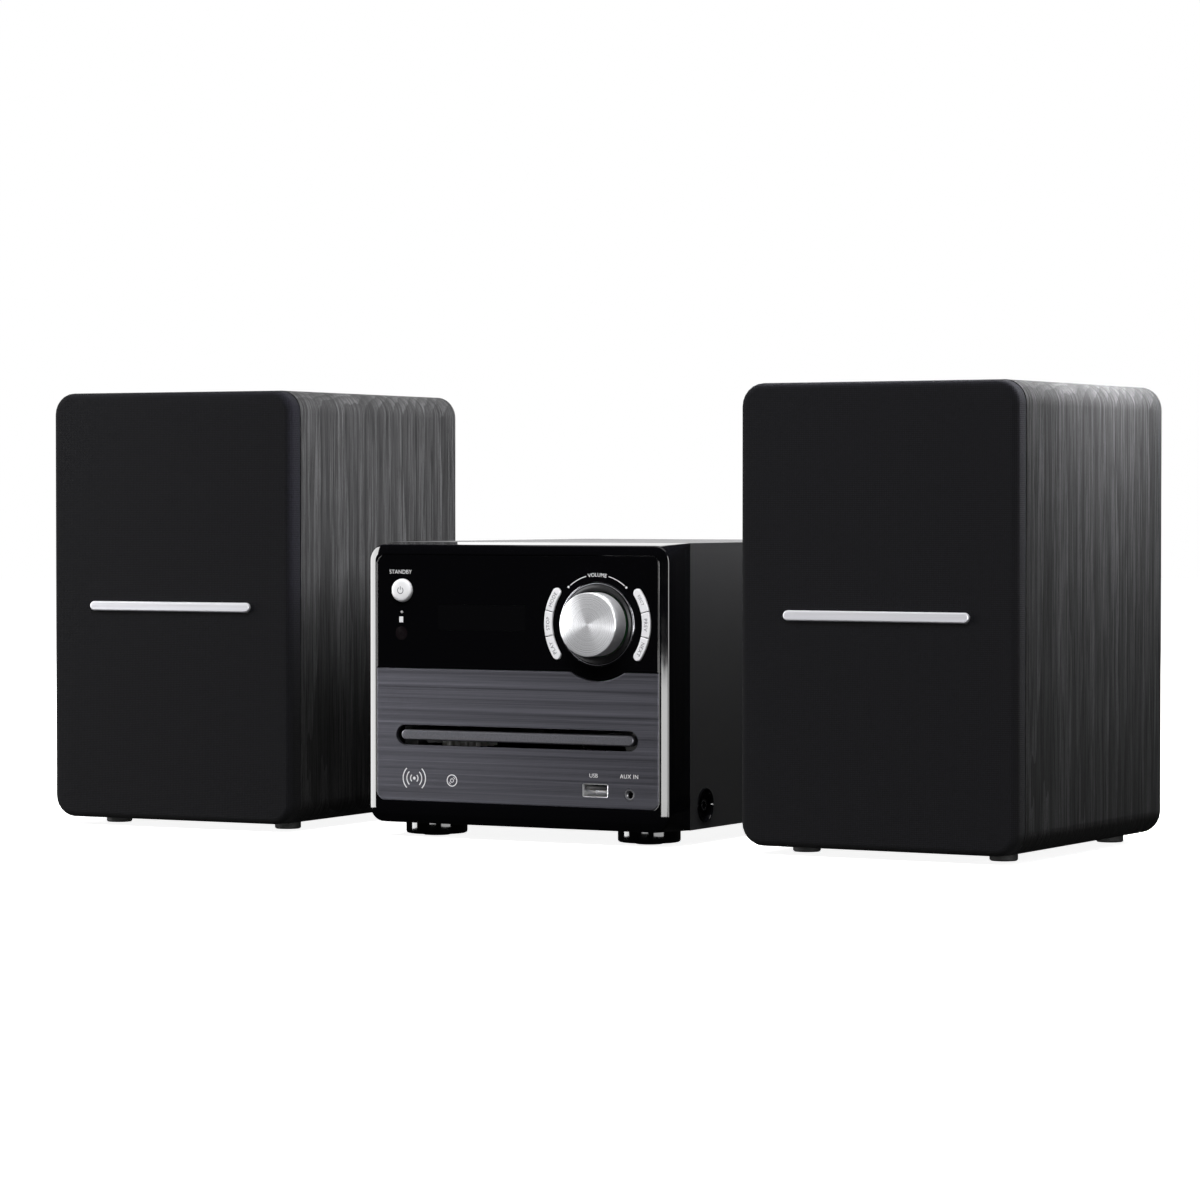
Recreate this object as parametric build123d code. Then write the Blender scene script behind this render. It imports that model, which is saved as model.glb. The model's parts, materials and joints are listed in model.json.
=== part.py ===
"""Mini hifi system: a disc-playing receiver between two box speakers, each piece its own solid.

Frame: +Z up, the front faces -Y, and the origin is the middle of the set's footprint on the table.
All lengths are millimetres. The main unit is first laid out with its front rim at Y = 0 and its
middle at X = 0; each speaker is laid out on its own middle, with its grille's front at Y = 0.
"""
import os
from math import acos, cos, degrees, pi, radians, sin, tan

from build123d import *

# ---- Layout of the set ---------------------------------------------------------------------
SPEAKER_GAP = 40.4            # free table between the main unit and each speaker
SPEAKER_LEAD = 6.4            # speakers' inner front corners stand this far ahead of the unit
TOE_IN = 1.5                  # each speaker turns this many degrees towards the listener

# ---- Clearances ----------------------------------------------------------------------------
FIT = 0.1                     # between pieces seated in one another
BUTTON_CLEARANCE = 0.25       # all round a button in its hole
SLIDE_CLEARANCE = 0.25        # between the disc tray and its guides
RUNNING_CLEARANCE = 0.05      # round a shaft or a peg, on the radius

# ---- Main unit: cabinet --------------------------------------------------------------------
UNIT_WIDTH = 165.0
UNIT_HEIGHT = 136.0           # cabinet, without its feet
UNIT_DEPTH = 219.0
UNIT_LIFT = 7.3               # the feet hold the cabinet this far off the table
COVER_WALL = 1.0
BASE_WALL = 1.2
BASE_FLANGE = 8.0
REAR_WALL = 1.4
UNIT_FOOT_RADIUS = 15.0
UNIT_FOOT_INSET = 23.6        # foot's middle from the cabinet's side
UNIT_FOOT_SETBACK = 25.7      # foot's middle from the front rim, and from the back
FOOT_STUD_RADIUS = 2.5
FOOT_STUD_OFFSET = 3.2        # stud's middle from the foot's middle, towards the unit's middle
PAD_RADIUS = 6.3
PAD_PROUD = 1.0
PAD_SEAT = 0.8

# ---- Main unit: front ----------------------------------------------------------------------
BEZEL_DEPTH = 22.4
BEZEL_FRONT_RADIUS = 8.0
BEZEL_REAR_RADIUS = 1.0
BEZEL_TOP_DROP = 1.0          # the front rim is this much lower than the cabinet's top
BEZEL_SLOPE_WIDTH = 4.4       # the front band slopes back towards its outer edge
BEZEL_SLOPE_DEPTH = 1.3
BEZEL_EDGE = 1.2
BEZEL_WALL = 2.4
BEZEL_SIDE_BAND = 5.2
BEZEL_BOTTOM_BAND = 10.7
BEZEL_SPIGOT = 5.0            # the bezel's sleeve that plugs into the cover
BEZEL_LEDGE = 2.2             # shelf that carries the two fascias
PANEL_RADIUS = 4.0
PANEL_THICKNESS = 2.5
PANEL_EDGE = 0.7
PANEL_JOINT = 0.3             # open line between the two fascias
LOWER_PANEL_HEIGHT = 64.6

# ---- Volume knob ---------------------------------------------------------------------------
KNOB_RADIUS = 15.1
KNOB_PROUD = 10.0
KNOB_WALL = 1.1
KNOB_EDGE = 0.5
KNOB_MARGIN = 4.1             # arc buttons' outer edge to the fascia's right edge
KNOB_RISE = 22.4              # from the line between the fascias
KNOB_TAIL = 0.4               # how far the knob reaches behind the fascia's front
KNOB_CLEARANCE = 0.6          # between the knob and the ring round it
RING_WIDTH = 4.3
RING_PROUD = 0.5
RING_RIM = 0.7
RING_DISH = 1.3
SCALLOP_MARGIN = 6.7          # the upper fascia's round lobe reaches this far past the ring
ENCODER_SHAFT_RADIUS = 3.0
ENCODER_BODY = 13.0
ENCODER_BODY_DEPTH = 5.4

# ---- Buttons -------------------------------------------------------------------------------
ARC_MARGIN = 4.2              # between the ring and the arc of buttons
ARC_WIDTH = 4.3
ARC_HALF_ANGLE = 39.0
ARC_SPLIT_ANGLE = 13.0
ARC_GAP = 0.4
BUTTON_PROUD = 0.9
BUTTON_EDGE = 0.3
BUTTON_FLANGE = 0.9
BUTTON_FLANGE_THICKNESS = 1.0
BUTTON_TRAVEL = 0.8
STANDBY_RADIUS = 5.6
STANDBY_PROUD = 2.0
STANDBY_DOME = 0.8
STANDBY_INSET = 14.4
STANDBY_RISE = 37.4
SWITCH_SIDE = 6.0
SWITCH_HEIGHT = 2.4
PLUNGER_RADIUS = 1.6

# ---- Display -------------------------------------------------------------------------------
WINDOW_WIDTH = 48.7
WINDOW_HEIGHT = 12.3
WINDOW_INSET = 58.6           # window's middle from the fascia's left edge
WINDOW_RISE = 24.6
WINDOW_THICKNESS = 1.8
DISPLAY_DEPTH = 6.0
DISPLAY_BORDER = 2.0
BOARD_THICKNESS = 1.6
BOARD_SETBACK = 9.0           # control board's face from the front rim
BOARD_MARGIN = 4.5

# ---- Disc tray and loader ------------------------------------------------------------------
TRAY_RIM = 1.4                # tray left at each side of the disc recess
TRAY_LENGTH = 150.0
TRAY_THICKNESS = 4.4
TRAY_RISE = 32.1              # tray's mid height above the lower fascia's bottom edge
TRAY_TRAVEL = 130.0
TRAY_BAR_OVERHANG = 1.8       # bar past the tray, at each end
TRAY_BAR_HEIGHT = 5.0
TRAY_BAR_DEPTH = 4.0
TRAY_BAR_SETBACK = 0.2
TRAY_BAR_EDGE = 0.8
TRAY_MOUTH_SIDE = 2.7         # free mouth at each end of the bar
TRAY_MOUTH_RISE = 2.4         # free mouth above and below the bar
DISC_RADIUS = 60.6            # recess for a 120 mm disc
DISC_RECESS = 2.2
DISC_RIM = 3.5                # tray left in front of the disc recess
PICKUP_SLOT_WIDTH = 42.0
RACK_HEIGHT = 2.0
RACK_INSET = 12.0             # rack's pitch line from the tray's left edge
RACK_BACK = 3.0
GEAR_MODULE = 1.5
GEAR_TEETH = 16
GEAR_THICKNESS = 3.2
GEAR_AXLE_RADIUS = 2.0
GEAR_SETBACK = 22.0           # gear's axle from the front rim
GEAR_BACKLASH = 0.35
PRESSURE_ANGLE = 20.0
TURNTABLE_RADIUS = 15.0
TURNTABLE_HEIGHT = 4.0
TURNTABLE_HUB_RADIUS = 7.4
SPINDLE_RADIUS = 1.0
MOTOR_RADIUS = 11.0
SLED_LENGTH = 20.0
SLED_WIDTH = 26.0
SLED_HEIGHT = 4.5
SLED_START = 18.5             # sled's near end from the spindle, at its innermost
SLED_TRAVEL = 30.0
ROD_RADIUS = 1.5
ROD_SPACING = 24.0
LOADER_FLOOR = 2.0
LOADER_WALL = 2.5
LOADER_DEEP = 12.0            # from the tray's underside to the loader's floor
LOADER_POST_RADIUS = 4.0

# ---- Electronics ---------------------------------------------------------------------------
MAIN_BOARD_LEFT = -20.0
MAIN_BOARD_WIDTH = 74.0
MAIN_BOARD_LENGTH = 112.0
MAIN_BOARD_SETBACK = 12.0     # from the cabinet's back
MAIN_BOARD_LIFT = 4.0
MAIN_BOARD_POST_RADIUS = 2.5
MAIN_BOARD_POST_INSET = 5.0
CAPACITORS = ((12, 15, 5, 12), (26, 15, 5, 12), (12, 29, 6.5, 16), (60, 17, 4, 8))  # x, y, radius, height
CHIP_X = 38.0
CHIP_Y = 23.0
CHIP_SIDE = 16.0
CHIP_HEIGHT = 2.0
HEATSINK_X = 16.0
HEATSINK_SETBACK = 25.0
HEATSINK_WIDTH = 44.0
HEATSINK_DEPTH = 18.0
HEATSINK_FOOT = 3.0
FIN_COUNT = 7
FIN_PITCH = 5.0
FIN_MARGIN = 2.0
FIN_THICKNESS = 1.6
FIN_HEIGHT = 16.0
TRANSFORMER_X = -50.0
TRANSFORMER_WIDTH = 44.0
TRANSFORMER_LENGTH = 38.0
TRANSFORMER_HEIGHT = 34.0
TRANSFORMER_SETBACK = 13.0    # from the cabinet's back
TRANSFORMER_PLATE = 1.5
TRANSFORMER_LUG = 4.0
CORE_LIMB = 7.0
BOBBIN_BULGE = 8.0

# ---- Sockets -------------------------------------------------------------------------------
USB_WIDTH = 13.9
USB_HEIGHT = 6.6
USB_DEPTH = 14.0
USB_WALL = 0.45
USB_INSET = 33.9              # from the fascia's right edge
USB_RISE = 8.3                # from the lower fascia's bottom edge
JACK_BORE_RADIUS = 1.78
JACK_DEPTH = 14.0
AUX_RING_RADIUS = 2.7
AUX_BODY_RADIUS = 4.0
AUX_INSET = 15.4
AUX_RISE = 6.8
HEADPHONE_DISH_RADIUS = 8.2
HEADPHONE_RIM = 0.9
HEADPHONE_DISH_DEPTH = 3.0
HEADPHONE_COLLAR_RADIUS = 3.2
HEADPHONE_SETBACK = 38.0
HEADPHONE_RISE = 11.2         # above the cabinet's underside
REAR_SOCKET_RADIUS = 4.15
REAR_SOCKET_BODY_RADIUS = 6.0
REAR_SOCKET_BODY_DEPTH = 8.0
REAR_SOCKET_PROUD = 8.0
REAR_SOCKET_DEPTH = 14.0      # of the hole for the plug's pin
REAR_SOCKET_PIN_RADIUS = 1.6
REAR_SOCKET_SPACING = 14.0
REAR_SOCKET_X = 40.0
REAR_SOCKET_RISE = 40.0
INLET_WIDTH = 22.0
INLET_HEIGHT = 14.0
INLET_DEPTH = 16.0
INLET_WALL = 2.0
INLET_X = -52.0
INLET_RISE = 62.0
INLET_PIN_RADIUS = 1.2
INLET_PIN_SPACING = 8.6
SCREW_RADIUS = 1.5
SCREW_HEAD_RADIUS = 2.9
SCREW_HEAD_HEIGHT = 1.8

# ---- Speakers ------------------------------------------------------------------------------
SPEAKER_WIDTH = 140.4
SPEAKER_HEIGHT = 213.9        # cabinet, without its feet
SPEAKER_DEPTH = 165.7         # grille's front to the cabinet's back
SPEAKER_LIFT = 3.8
SPEAKER_EDGE_RADIUS = 11.0
SPEAKER_WALL = 9.0
BAFFLE_THICKNESS = 11.0
SPEAKER_FOOT_RADIUS = 6.5
SPEAKER_FOOT_INSET = 20.0
SPEAKER_FOOT_FRONT = 29.6
SPEAKER_FOOT_REAR = 14.5
GRILLE_DEPTH = 9.6            # grille's front to the cabinet's front
GRILLE_GAP = 0.5              # dark line between grille and cabinet
GRILLE_INSET = 0.2
GRILLE_EDGE = 3.5
CLOTH_THICKNESS = 0.9
FRAME_BORDER = 10.0
FRAME_BAR = 9.0
PEG_RADIUS = 3.0
PEG_LENGTH = 6.0
PEG_INSET = 12.0
BAR_LENGTH = 93.8
BAR_HEIGHT = 4.8
BAR_PROUD = 1.8
BAR_EDGE = 0.8
BAR_DROP = 0.05               # trim bar's middle below the grille's middle
DRIVER_SHARE = 0.65           # of the baffle's spare height left between driver and port
DRIVER_FLANGE_RADIUS = 50.0
DRIVER_HOLE_RADIUS = 45.0
DRIVER_FLANGE = 2.4
DRIVER_DEPTH = 38.0
DRIVER_BACK_RADIUS = 30.0
CONE_RADIUS = 38.0
DUST_CAP_RADIUS = 13.0
MAGNET_RADIUS = 34.0
MAGNET_HEIGHT = 14.0
MAGNET_PLATE = 2.5
DRIVER_SCREW_CIRCLE = 46.8
PORT_RISE = 34.0
PORT_RADIUS = 15.0
PORT_WALL = 1.8
PORT_LENGTH = 80.0
PORT_FLANGE_RADIUS = 21.0
GLAND_RADIUS = 5.0
GLAND_BORE = 2.0
GLAND_PROUD = 4.0
GLAND_RISE = 60.0

# ---- Places worked out from the sizes above ------------------------------------------------
UNIT_TOP = UNIT_LIFT + UNIT_HEIGHT
PANEL_HALF = UNIT_WIDTH / 2 - BEZEL_SIDE_BAND
PANEL_BOTTOM = UNIT_LIFT + BEZEL_BOTTOM_BAND
PANEL_TOP = UNIT_TOP - BEZEL_TOP_DROP - BEZEL_SIDE_BAND
SPLIT_Z = PANEL_BOTTOM + LOWER_PANEL_HEIGHT
RING_BORE = KNOB_RADIUS + KNOB_CLEARANCE
RING_RADIUS = RING_BORE + RING_WIDTH
SCALLOP_RADIUS = RING_RADIUS + SCALLOP_MARGIN
ARC_INNER = RING_RADIUS + ARC_MARGIN
ARC_OUTER = ARC_INNER + ARC_WIDTH
KNOB_X = PANEL_HALF - KNOB_MARGIN - ARC_OUTER
KNOB_Z = SPLIT_Z + KNOB_RISE
STANDBY_X = -PANEL_HALF + STANDBY_INSET
STANDBY_Z = SPLIT_Z + STANDBY_RISE
WINDOW_X = -PANEL_HALF + WINDOW_INSET
WINDOW_Z = SPLIT_Z + WINDOW_RISE
TRAY_WIDTH = 2 * (DISC_RADIUS + TRAY_RIM)
TRAY_BAR_WIDTH = TRAY_WIDTH + 2 * TRAY_BAR_OVERHANG
TRAY_MOUTH_WIDTH = TRAY_BAR_WIDTH + 2 * TRAY_MOUTH_SIDE
TRAY_MOUTH_HEIGHT = TRAY_BAR_HEIGHT + 2 * TRAY_MOUTH_RISE
TRAY_Z = PANEL_BOTTOM + TRAY_RISE
TRAY_UNDERSIDE = TRAY_Z - TRAY_THICKNESS / 2
TRAY_FRONT = TRAY_BAR_SETBACK + TRAY_BAR_DEPTH
DISC_Y = TRAY_FRONT + DISC_RIM + DISC_RADIUS
USB_X = PANEL_HALF - USB_INSET
USB_Z = PANEL_BOTTOM + USB_RISE
AUX_X = PANEL_HALF - AUX_INSET
AUX_Z = PANEL_BOTTOM + AUX_RISE
HEADPHONE_Z = UNIT_LIFT + HEADPHONE_RISE
INNER_HALF = UNIT_WIDTH / 2 - COVER_WALL
GEAR_RADIUS = GEAR_MODULE * GEAR_TEETH / 2
RACK_X = RACK_INSET - TRAY_WIDTH / 2
GEAR_X = RACK_X + GEAR_RADIUS
LOADER_Z = TRAY_UNDERSIDE - LOADER_DEEP
BASE_Z = UNIT_LIFT + COVER_WALL
SPEAKER_TOP = SPEAKER_LIFT + SPEAKER_HEIGHT
SPEAKER_MID_Z = SPEAKER_LIFT + SPEAKER_HEIGHT / 2
BAR_Z = SPEAKER_MID_Z - BAR_DROP
GRILLE_SHRINK = GRILLE_INSET + CLOTH_THICKNESS + FIT
PORT_Z = SPEAKER_LIFT + PORT_RISE
PORT_FLANGE_TOP = PORT_Z + PORT_FLANGE_RADIUS
SPARE_BAFFLE = SPEAKER_TOP - GRILLE_SHRINK - FRAME_BORDER - PORT_FLANGE_TOP - 2 * DRIVER_FLANGE_RADIUS
DRIVER_Z = PORT_FLANGE_TOP + DRIVER_SHARE * SPARE_BAFFLE + DRIVER_FLANGE_RADIUS


# ---- Shapes used by many pieces ------------------------------------------------------------
def block(x0, x1, y0, y1, z0, z1):
    """A box between two opposite corners."""
    middle = Pos((x0 + x1) / 2, (y0 + y1) / 2, (z0 + z1) / 2)
    return middle * Box(x1 - x0, y1 - y0, z1 - z0)


def rod(axis, radius, x, y, z, length):
    """A cylinder that starts at a point and runs along +X, +Y or +Z."""
    turn = {"x": Rot(0, 90, 0), "y": Rot(-90, 0, 0), "z": Rot(0, 0, 0)}[axis]
    along = Cylinder(radius, length, align=(Align.CENTER, Align.CENTER, Align.MIN))
    return Pos(x, y, z) * turn * along


def slab(outline, y_front, y_back):
    """An outline drawn in X and Z, filled from one Y to another."""
    return extrude(Plane.XZ.offset(-y_back) * outline, y_back - y_front)


def turned(points, x, z):
    """A section of (radius, y) points turned about an axis along Y."""
    return Pos(x, 0, z) * revolve(make_face(Polyline(*points, close=True)), Axis.Y)


def sector(r_in, r_out, start, end, round_start=False, round_end=False):
    """A piece of a ring between two angles, with an end rounded where asked."""
    half_width = (r_out - r_in) / 2
    r_mid = (r_out + r_in) / 2
    cap_angle = degrees(half_width / r_mid)
    first = start + (cap_angle if round_start else 0)
    last = end - (cap_angle if round_end else 0)
    reach = 3 * r_out
    rays = [(reach * cos(radians(a)), reach * sin(radians(a))) for a in (first, last)]
    wedge = make_face(Polyline((0, 0), *rays, close=True))
    shape = (Circle(r_out) - Circle(r_in)) & wedge
    for wanted, angle in ((round_start, first), (round_end, last)):
        if wanted:
            shape += Pos(r_mid * cos(radians(angle)), r_mid * sin(radians(angle))) * Circle(half_width)
    return shape


def four_corners(half_x, y_front, y_back):
    """Plan places of four like pieces, mirrored about the middle."""
    return [(sx * half_x, y) for sx in (-1, 1) for y in (y_front, y_back)]


# ---- Main unit: cabinet --------------------------------------------------------------------
def cover():
    """Folded steel top and sides, with a round hole for the headphone socket."""
    y0, y1 = BEZEL_DEPTH, UNIT_DEPTH
    outside = block(-UNIT_WIDTH / 2, UNIT_WIDTH / 2, y0, y1, UNIT_LIFT, UNIT_TOP)
    inside = block(-INNER_HALF, INNER_HALF, y0 - 1, y1 + 1, UNIT_LIFT - 1, UNIT_TOP - COVER_WALL)
    hole = rod("x", HEADPHONE_DISH_RADIUS - HEADPHONE_RIM + FIT, 0, HEADPHONE_SETBACK,
               HEADPHONE_Z, UNIT_WIDTH)
    return outside - inside - hole


def base_plate():
    """Steel floor with upturned sides, and holes for the feet's studs."""
    half = INNER_HALF - FIT
    y0, y1 = BEZEL_DEPTH + FIT, UNIT_DEPTH - REAR_WALL - FIT
    plate = block(-half, half, y0, y1, BASE_Z, BASE_Z + BASE_WALL)
    for side in (-1, 1):
        x0, x1 = sorted((side * half, side * (half - BASE_WALL)))
        plate += block(x0, x1, y0 + BEZEL_SPIGOT + 1, y1, BASE_Z, BASE_Z + BASE_FLANGE)
    plate -= block(half - 2 * BASE_WALL, half + 1, HEADPHONE_SETBACK - HEADPHONE_DISH_RADIUS - 1,
                   HEADPHONE_SETBACK + HEADPHONE_DISH_RADIUS + 1, BASE_Z + BASE_WALL,
                   BASE_Z + BASE_FLANGE + 1)
    for x, y in foot_places():
        plate -= rod("z", FOOT_STUD_RADIUS + FIT, x, stud_y(y), BASE_Z - 1, BASE_WALL + 2)
    return plate


def rear_panel():
    """Back plate with cut-outs for the sockets and rows of cooling slots."""
    half = INNER_HALF - FIT
    panel = block(-half, half, UNIT_DEPTH - REAR_WALL, UNIT_DEPTH, UNIT_LIFT, UNIT_TOP - COVER_WALL - FIT)
    y0, depth = UNIT_DEPTH - REAR_WALL - 1, REAR_WALL + 2
    inlet_z = UNIT_LIFT + INLET_RISE
    panel -= block(INLET_X - INLET_WIDTH / 2 - FIT, INLET_X + INLET_WIDTH / 2 + FIT, y0, y0 + depth,
                   inlet_z - INLET_HEIGHT / 2 - FIT, inlet_z + INLET_HEIGHT / 2 + FIT)
    for x, z in rear_socket_places():
        panel -= rod("y", REAR_SOCKET_RADIUS + FIT, x, y0, z, depth)
    slot_width, slot_height, slot_pitch, slot_count = 3.0, 26.0, 8.0, 12
    for i in range(slot_count):
        x = (i - (slot_count - 1) / 2) * slot_pitch
        z = UNIT_TOP - UNIT_HEIGHT / 4
        panel -= slab(Pos(x, z) * SlotOverall(slot_height, slot_width, rotation=90), y0, y0 + depth)
    for x, z in screw_places():
        panel -= rod("y", SCREW_RADIUS + FIT, x, y0, z, depth)
    return panel


def screw_places():
    """Screws near the back plate's corners and half way up its sides."""
    x = INNER_HALF - 6.0
    heights = (UNIT_LIFT + 8.0, UNIT_LIFT + UNIT_HEIGHT / 2, UNIT_TOP - 8.0)
    return [(side * x, z) for side in (-1, 1) for z in heights]


def unit_screws():
    """Six pan-head screws through the back plate."""
    head = [(0, UNIT_DEPTH), (SCREW_HEAD_RADIUS, UNIT_DEPTH),
            (SCREW_HEAD_RADIUS * 0.8, UNIT_DEPTH + SCREW_HEAD_HEIGHT), (0, UNIT_DEPTH + SCREW_HEAD_HEIGHT)]
    shank_length = 6.0
    slot = Pos(0, UNIT_DEPTH + SCREW_HEAD_HEIGHT, 0) * Box(SCREW_HEAD_RADIUS * 1.2, 1.4, 0.7)
    screw = turned(head, 0, 0) - slot - Rot(0, 90, 0) * slot
    screw += rod("y", SCREW_RADIUS, 0, UNIT_DEPTH - shank_length, 0, shank_length)
    return Compound(children=[Pos(x, 0, z) * screw for x, z in screw_places()])


def foot_places():
    return four_corners(UNIT_WIDTH / 2 - UNIT_FOOT_INSET, UNIT_FOOT_SETBACK, UNIT_DEPTH - UNIT_FOOT_SETBACK)


def stud_y(foot_y):
    """A foot's stud stands a little nearer the unit's middle than the foot."""
    return foot_y + FOOT_STUD_OFFSET * (1 if foot_y < UNIT_DEPTH / 2 else -1)


def unit_feet():
    """Four wide glossy feet, each with a stud above and a seat for a rubber pad below."""
    feet = []
    for x, y in foot_places():
        foot = rod("z", UNIT_FOOT_RADIUS, x, y, PAD_PROUD, UNIT_LIFT - PAD_PROUD - FIT)
        foot = chamfer(foot.faces().sort_by(Axis.Z)[0].edges(), 0.5)
        foot -= rod("z", PAD_RADIUS + FIT, x, y, 0, PAD_PROUD + PAD_SEAT)
        stud_foot = UNIT_LIFT - FIT - 1.0
        foot += rod("z", FOOT_STUD_RADIUS, x, stud_y(y), stud_foot, BASE_Z + BASE_WALL - stud_foot)
        feet.append(foot)
    return Compound(children=feet)


def foot_pads():
    """Four rubber pads under the feet, which the unit stands on."""
    return Compound(children=[rod("z", PAD_RADIUS, x, y, 0, PAD_PROUD + PAD_SEAT - FIT)
                              for x, y in foot_places()])


# ---- Main unit: front ----------------------------------------------------------------------
def panel_outline(shrink=0.0):
    """Outline of the two fascias together, drawn in X and Z."""
    width = 2 * (PANEL_HALF - shrink)
    height = PANEL_TOP - PANEL_BOTTOM - 2 * shrink
    return Pos(0, (PANEL_TOP + PANEL_BOTTOM) / 2) * RectangleRounded(width, height, PANEL_RADIUS)


def bezel():
    """Glossy frame: rounded corners in front, flaring to the cabinet's square edges behind."""
    front_height = UNIT_HEIGHT - BEZEL_TOP_DROP
    place = Pos(0, UNIT_LIFT + front_height / 2)
    front = place * RectangleRounded(UNIT_WIDTH - 2 * BEZEL_SLOPE_WIDTH, front_height - 2 * BEZEL_SLOPE_WIDTH,
                                     BEZEL_FRONT_RADIUS - BEZEL_SLOPE_WIDTH)
    edge = place * RectangleRounded(UNIT_WIDTH, front_height, BEZEL_FRONT_RADIUS)
    rear = Pos(0, UNIT_LIFT + UNIT_HEIGHT / 2) * RectangleRounded(UNIT_WIDTH, UNIT_HEIGHT, BEZEL_REAR_RADIUS)
    slope = loft([Plane.XZ * front, Plane.XZ.offset(-BEZEL_SLOPE_DEPTH) * edge], ruled=True)
    shell = slope + loft([Plane.XZ.offset(-BEZEL_SLOPE_DEPTH) * edge, Plane.XZ.offset(-BEZEL_DEPTH) * rear])
    rim = shell.edges().filter_by(lambda e: abs(e.bounding_box().min.Y - BEZEL_SLOPE_DEPTH) < 0.01
                                  and abs(e.bounding_box().max.Y - BEZEL_SLOPE_DEPTH) < 0.01)
    shell = fillet(rim, BEZEL_EDGE)
    middle_z = UNIT_LIFT + UNIT_HEIGHT / 2
    sleeve_gap = COVER_WALL + FIT
    sleeve = RectangleRounded(UNIT_WIDTH - 2 * sleeve_gap, UNIT_HEIGHT - 2 * sleeve_gap, BEZEL_REAR_RADIUS)
    hollow_width = UNIT_WIDTH - 2 * (sleeve_gap + BEZEL_WALL)
    hollow_bottom = BASE_Z + BASE_WALL + FIT
    hollow_top = UNIT_TOP - sleeve_gap - BEZEL_WALL
    hollow = Pos(0, (hollow_top + hollow_bottom) / 2) * Rectangle(hollow_width, hollow_top - hollow_bottom)
    shell += slab(Pos(0, middle_z) * sleeve, BEZEL_DEPTH - 1, BEZEL_DEPTH + BEZEL_SPIGOT)
    shell -= block(-UNIT_WIDTH, UNIT_WIDTH, BEZEL_DEPTH, BEZEL_DEPTH + 2 * BEZEL_SPIGOT, 0, hollow_bottom)
    ledge_back = PANEL_THICKNESS + FIT + BEZEL_WALL
    shell -= slab(hollow, ledge_back, BEZEL_DEPTH + 2 * BEZEL_SPIGOT)
    shell -= slab(panel_outline(-FIT), -1, PANEL_THICKNESS + FIT)
    shell -= slab(panel_outline(BEZEL_LEDGE), 0, BEZEL_DEPTH)
    shell -= rod("x", HEADPHONE_DISH_RADIUS + FIT, PANEL_HALF, HEADPHONE_SETBACK, HEADPHONE_Z, UNIT_WIDTH)
    return shell


def upper_fascia():
    """Glossy upper panel with a lobe under the knob, and holes for knob, buttons and window."""
    above = Pos(0, SPLIT_Z + UNIT_HEIGHT / 2) * Rectangle(2 * UNIT_WIDTH, UNIT_HEIGHT)
    lobe = Pos(KNOB_X, KNOB_Z) * Circle(SCALLOP_RADIUS)
    panel = slab(panel_outline() & (above + lobe), 0, PANEL_THICKNESS)
    panel = fillet(panel.faces().sort_by(Axis.Y)[0].edges(), PANEL_EDGE / 2)
    holes = Pos(KNOB_X, KNOB_Z) * Circle(RING_RADIUS + FIT)
    holes += Pos(STANDBY_X, STANDBY_Z) * Circle(STANDBY_RADIUS + BUTTON_CLEARANCE)
    holes += Pos(WINDOW_X, WINDOW_Z) * Rectangle(WINDOW_WIDTH + 2 * FIT, WINDOW_HEIGHT + 2 * FIT)
    gap = BUTTON_CLEARANCE
    gap_angle = degrees(gap / ARC_OUTER)
    slot = sector(ARC_INNER - gap, ARC_OUTER + gap, -ARC_HALF_ANGLE - gap_angle,
                  ARC_HALF_ANGLE + gap_angle, True, True)
    for turn in (0, 180):
        holes += Pos(KNOB_X, KNOB_Z) * Rot(0, 0, turn) * slot
    return panel - slab(holes, -1, PANEL_THICKNESS + 1)


def lower_fascia():
    """Brushed lower panel with the disc mouth, a notch for the upper panel, and socket holes."""
    height = LOWER_PANEL_HEIGHT - PANEL_JOINT
    below = Pos(0, PANEL_BOTTOM + height / 2) * Rectangle(2 * UNIT_WIDTH, height)
    lobe = Pos(KNOB_X, KNOB_Z) * Circle(SCALLOP_RADIUS + PANEL_JOINT)
    panel = slab((panel_outline() & below) - lobe, 0, PANEL_THICKNESS)
    panel = fillet(panel.faces().sort_by(Axis.Y)[0].edges(), PANEL_EDGE / 2)
    holes = Pos(0, TRAY_Z) * SlotOverall(TRAY_MOUTH_WIDTH, TRAY_MOUTH_HEIGHT)
    holes += Pos(USB_X, USB_Z) * RectangleRounded(USB_WIDTH + 2 * FIT, USB_HEIGHT + 2 * FIT, 1.0)
    holes += Pos(AUX_X, AUX_Z) * Circle(AUX_RING_RADIUS + FIT)
    return panel - slab(holes, -1, PANEL_THICKNESS + 1)


def display_window():
    """Clear strip in the upper fascia, over the display."""
    outline = Pos(WINDOW_X, WINDOW_Z) * Rectangle(WINDOW_WIDTH, WINDOW_HEIGHT)
    return slab(outline, 0, WINDOW_THICKNESS)


def knob_ring():
    """Dished ring set into the upper fascia round the knob."""
    rim = RING_RADIUS - RING_RIM
    section = [(RING_BORE, RING_DISH), (rim - 0.4, 0), (rim, -RING_PROUD), (RING_RADIUS, -RING_PROUD),
               (RING_RADIUS, PANEL_THICKNESS), (RING_BORE, PANEL_THICKNESS)]
    return turned(section, KNOB_X, KNOB_Z)


def knob_cap():
    """Turned aluminium cap of the volume knob."""
    cap = rod("y", KNOB_RADIUS, KNOB_X, -KNOB_PROUD, KNOB_Z, KNOB_PROUD + KNOB_TAIL)
    cap = chamfer(cap.faces().sort_by(Axis.Y)[0].edges(), KNOB_EDGE)
    inside = KNOB_PROUD + KNOB_TAIL
    return cap - rod("y", KNOB_RADIUS - KNOB_WALL, KNOB_X, KNOB_WALL - KNOB_PROUD, KNOB_Z, inside)


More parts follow.
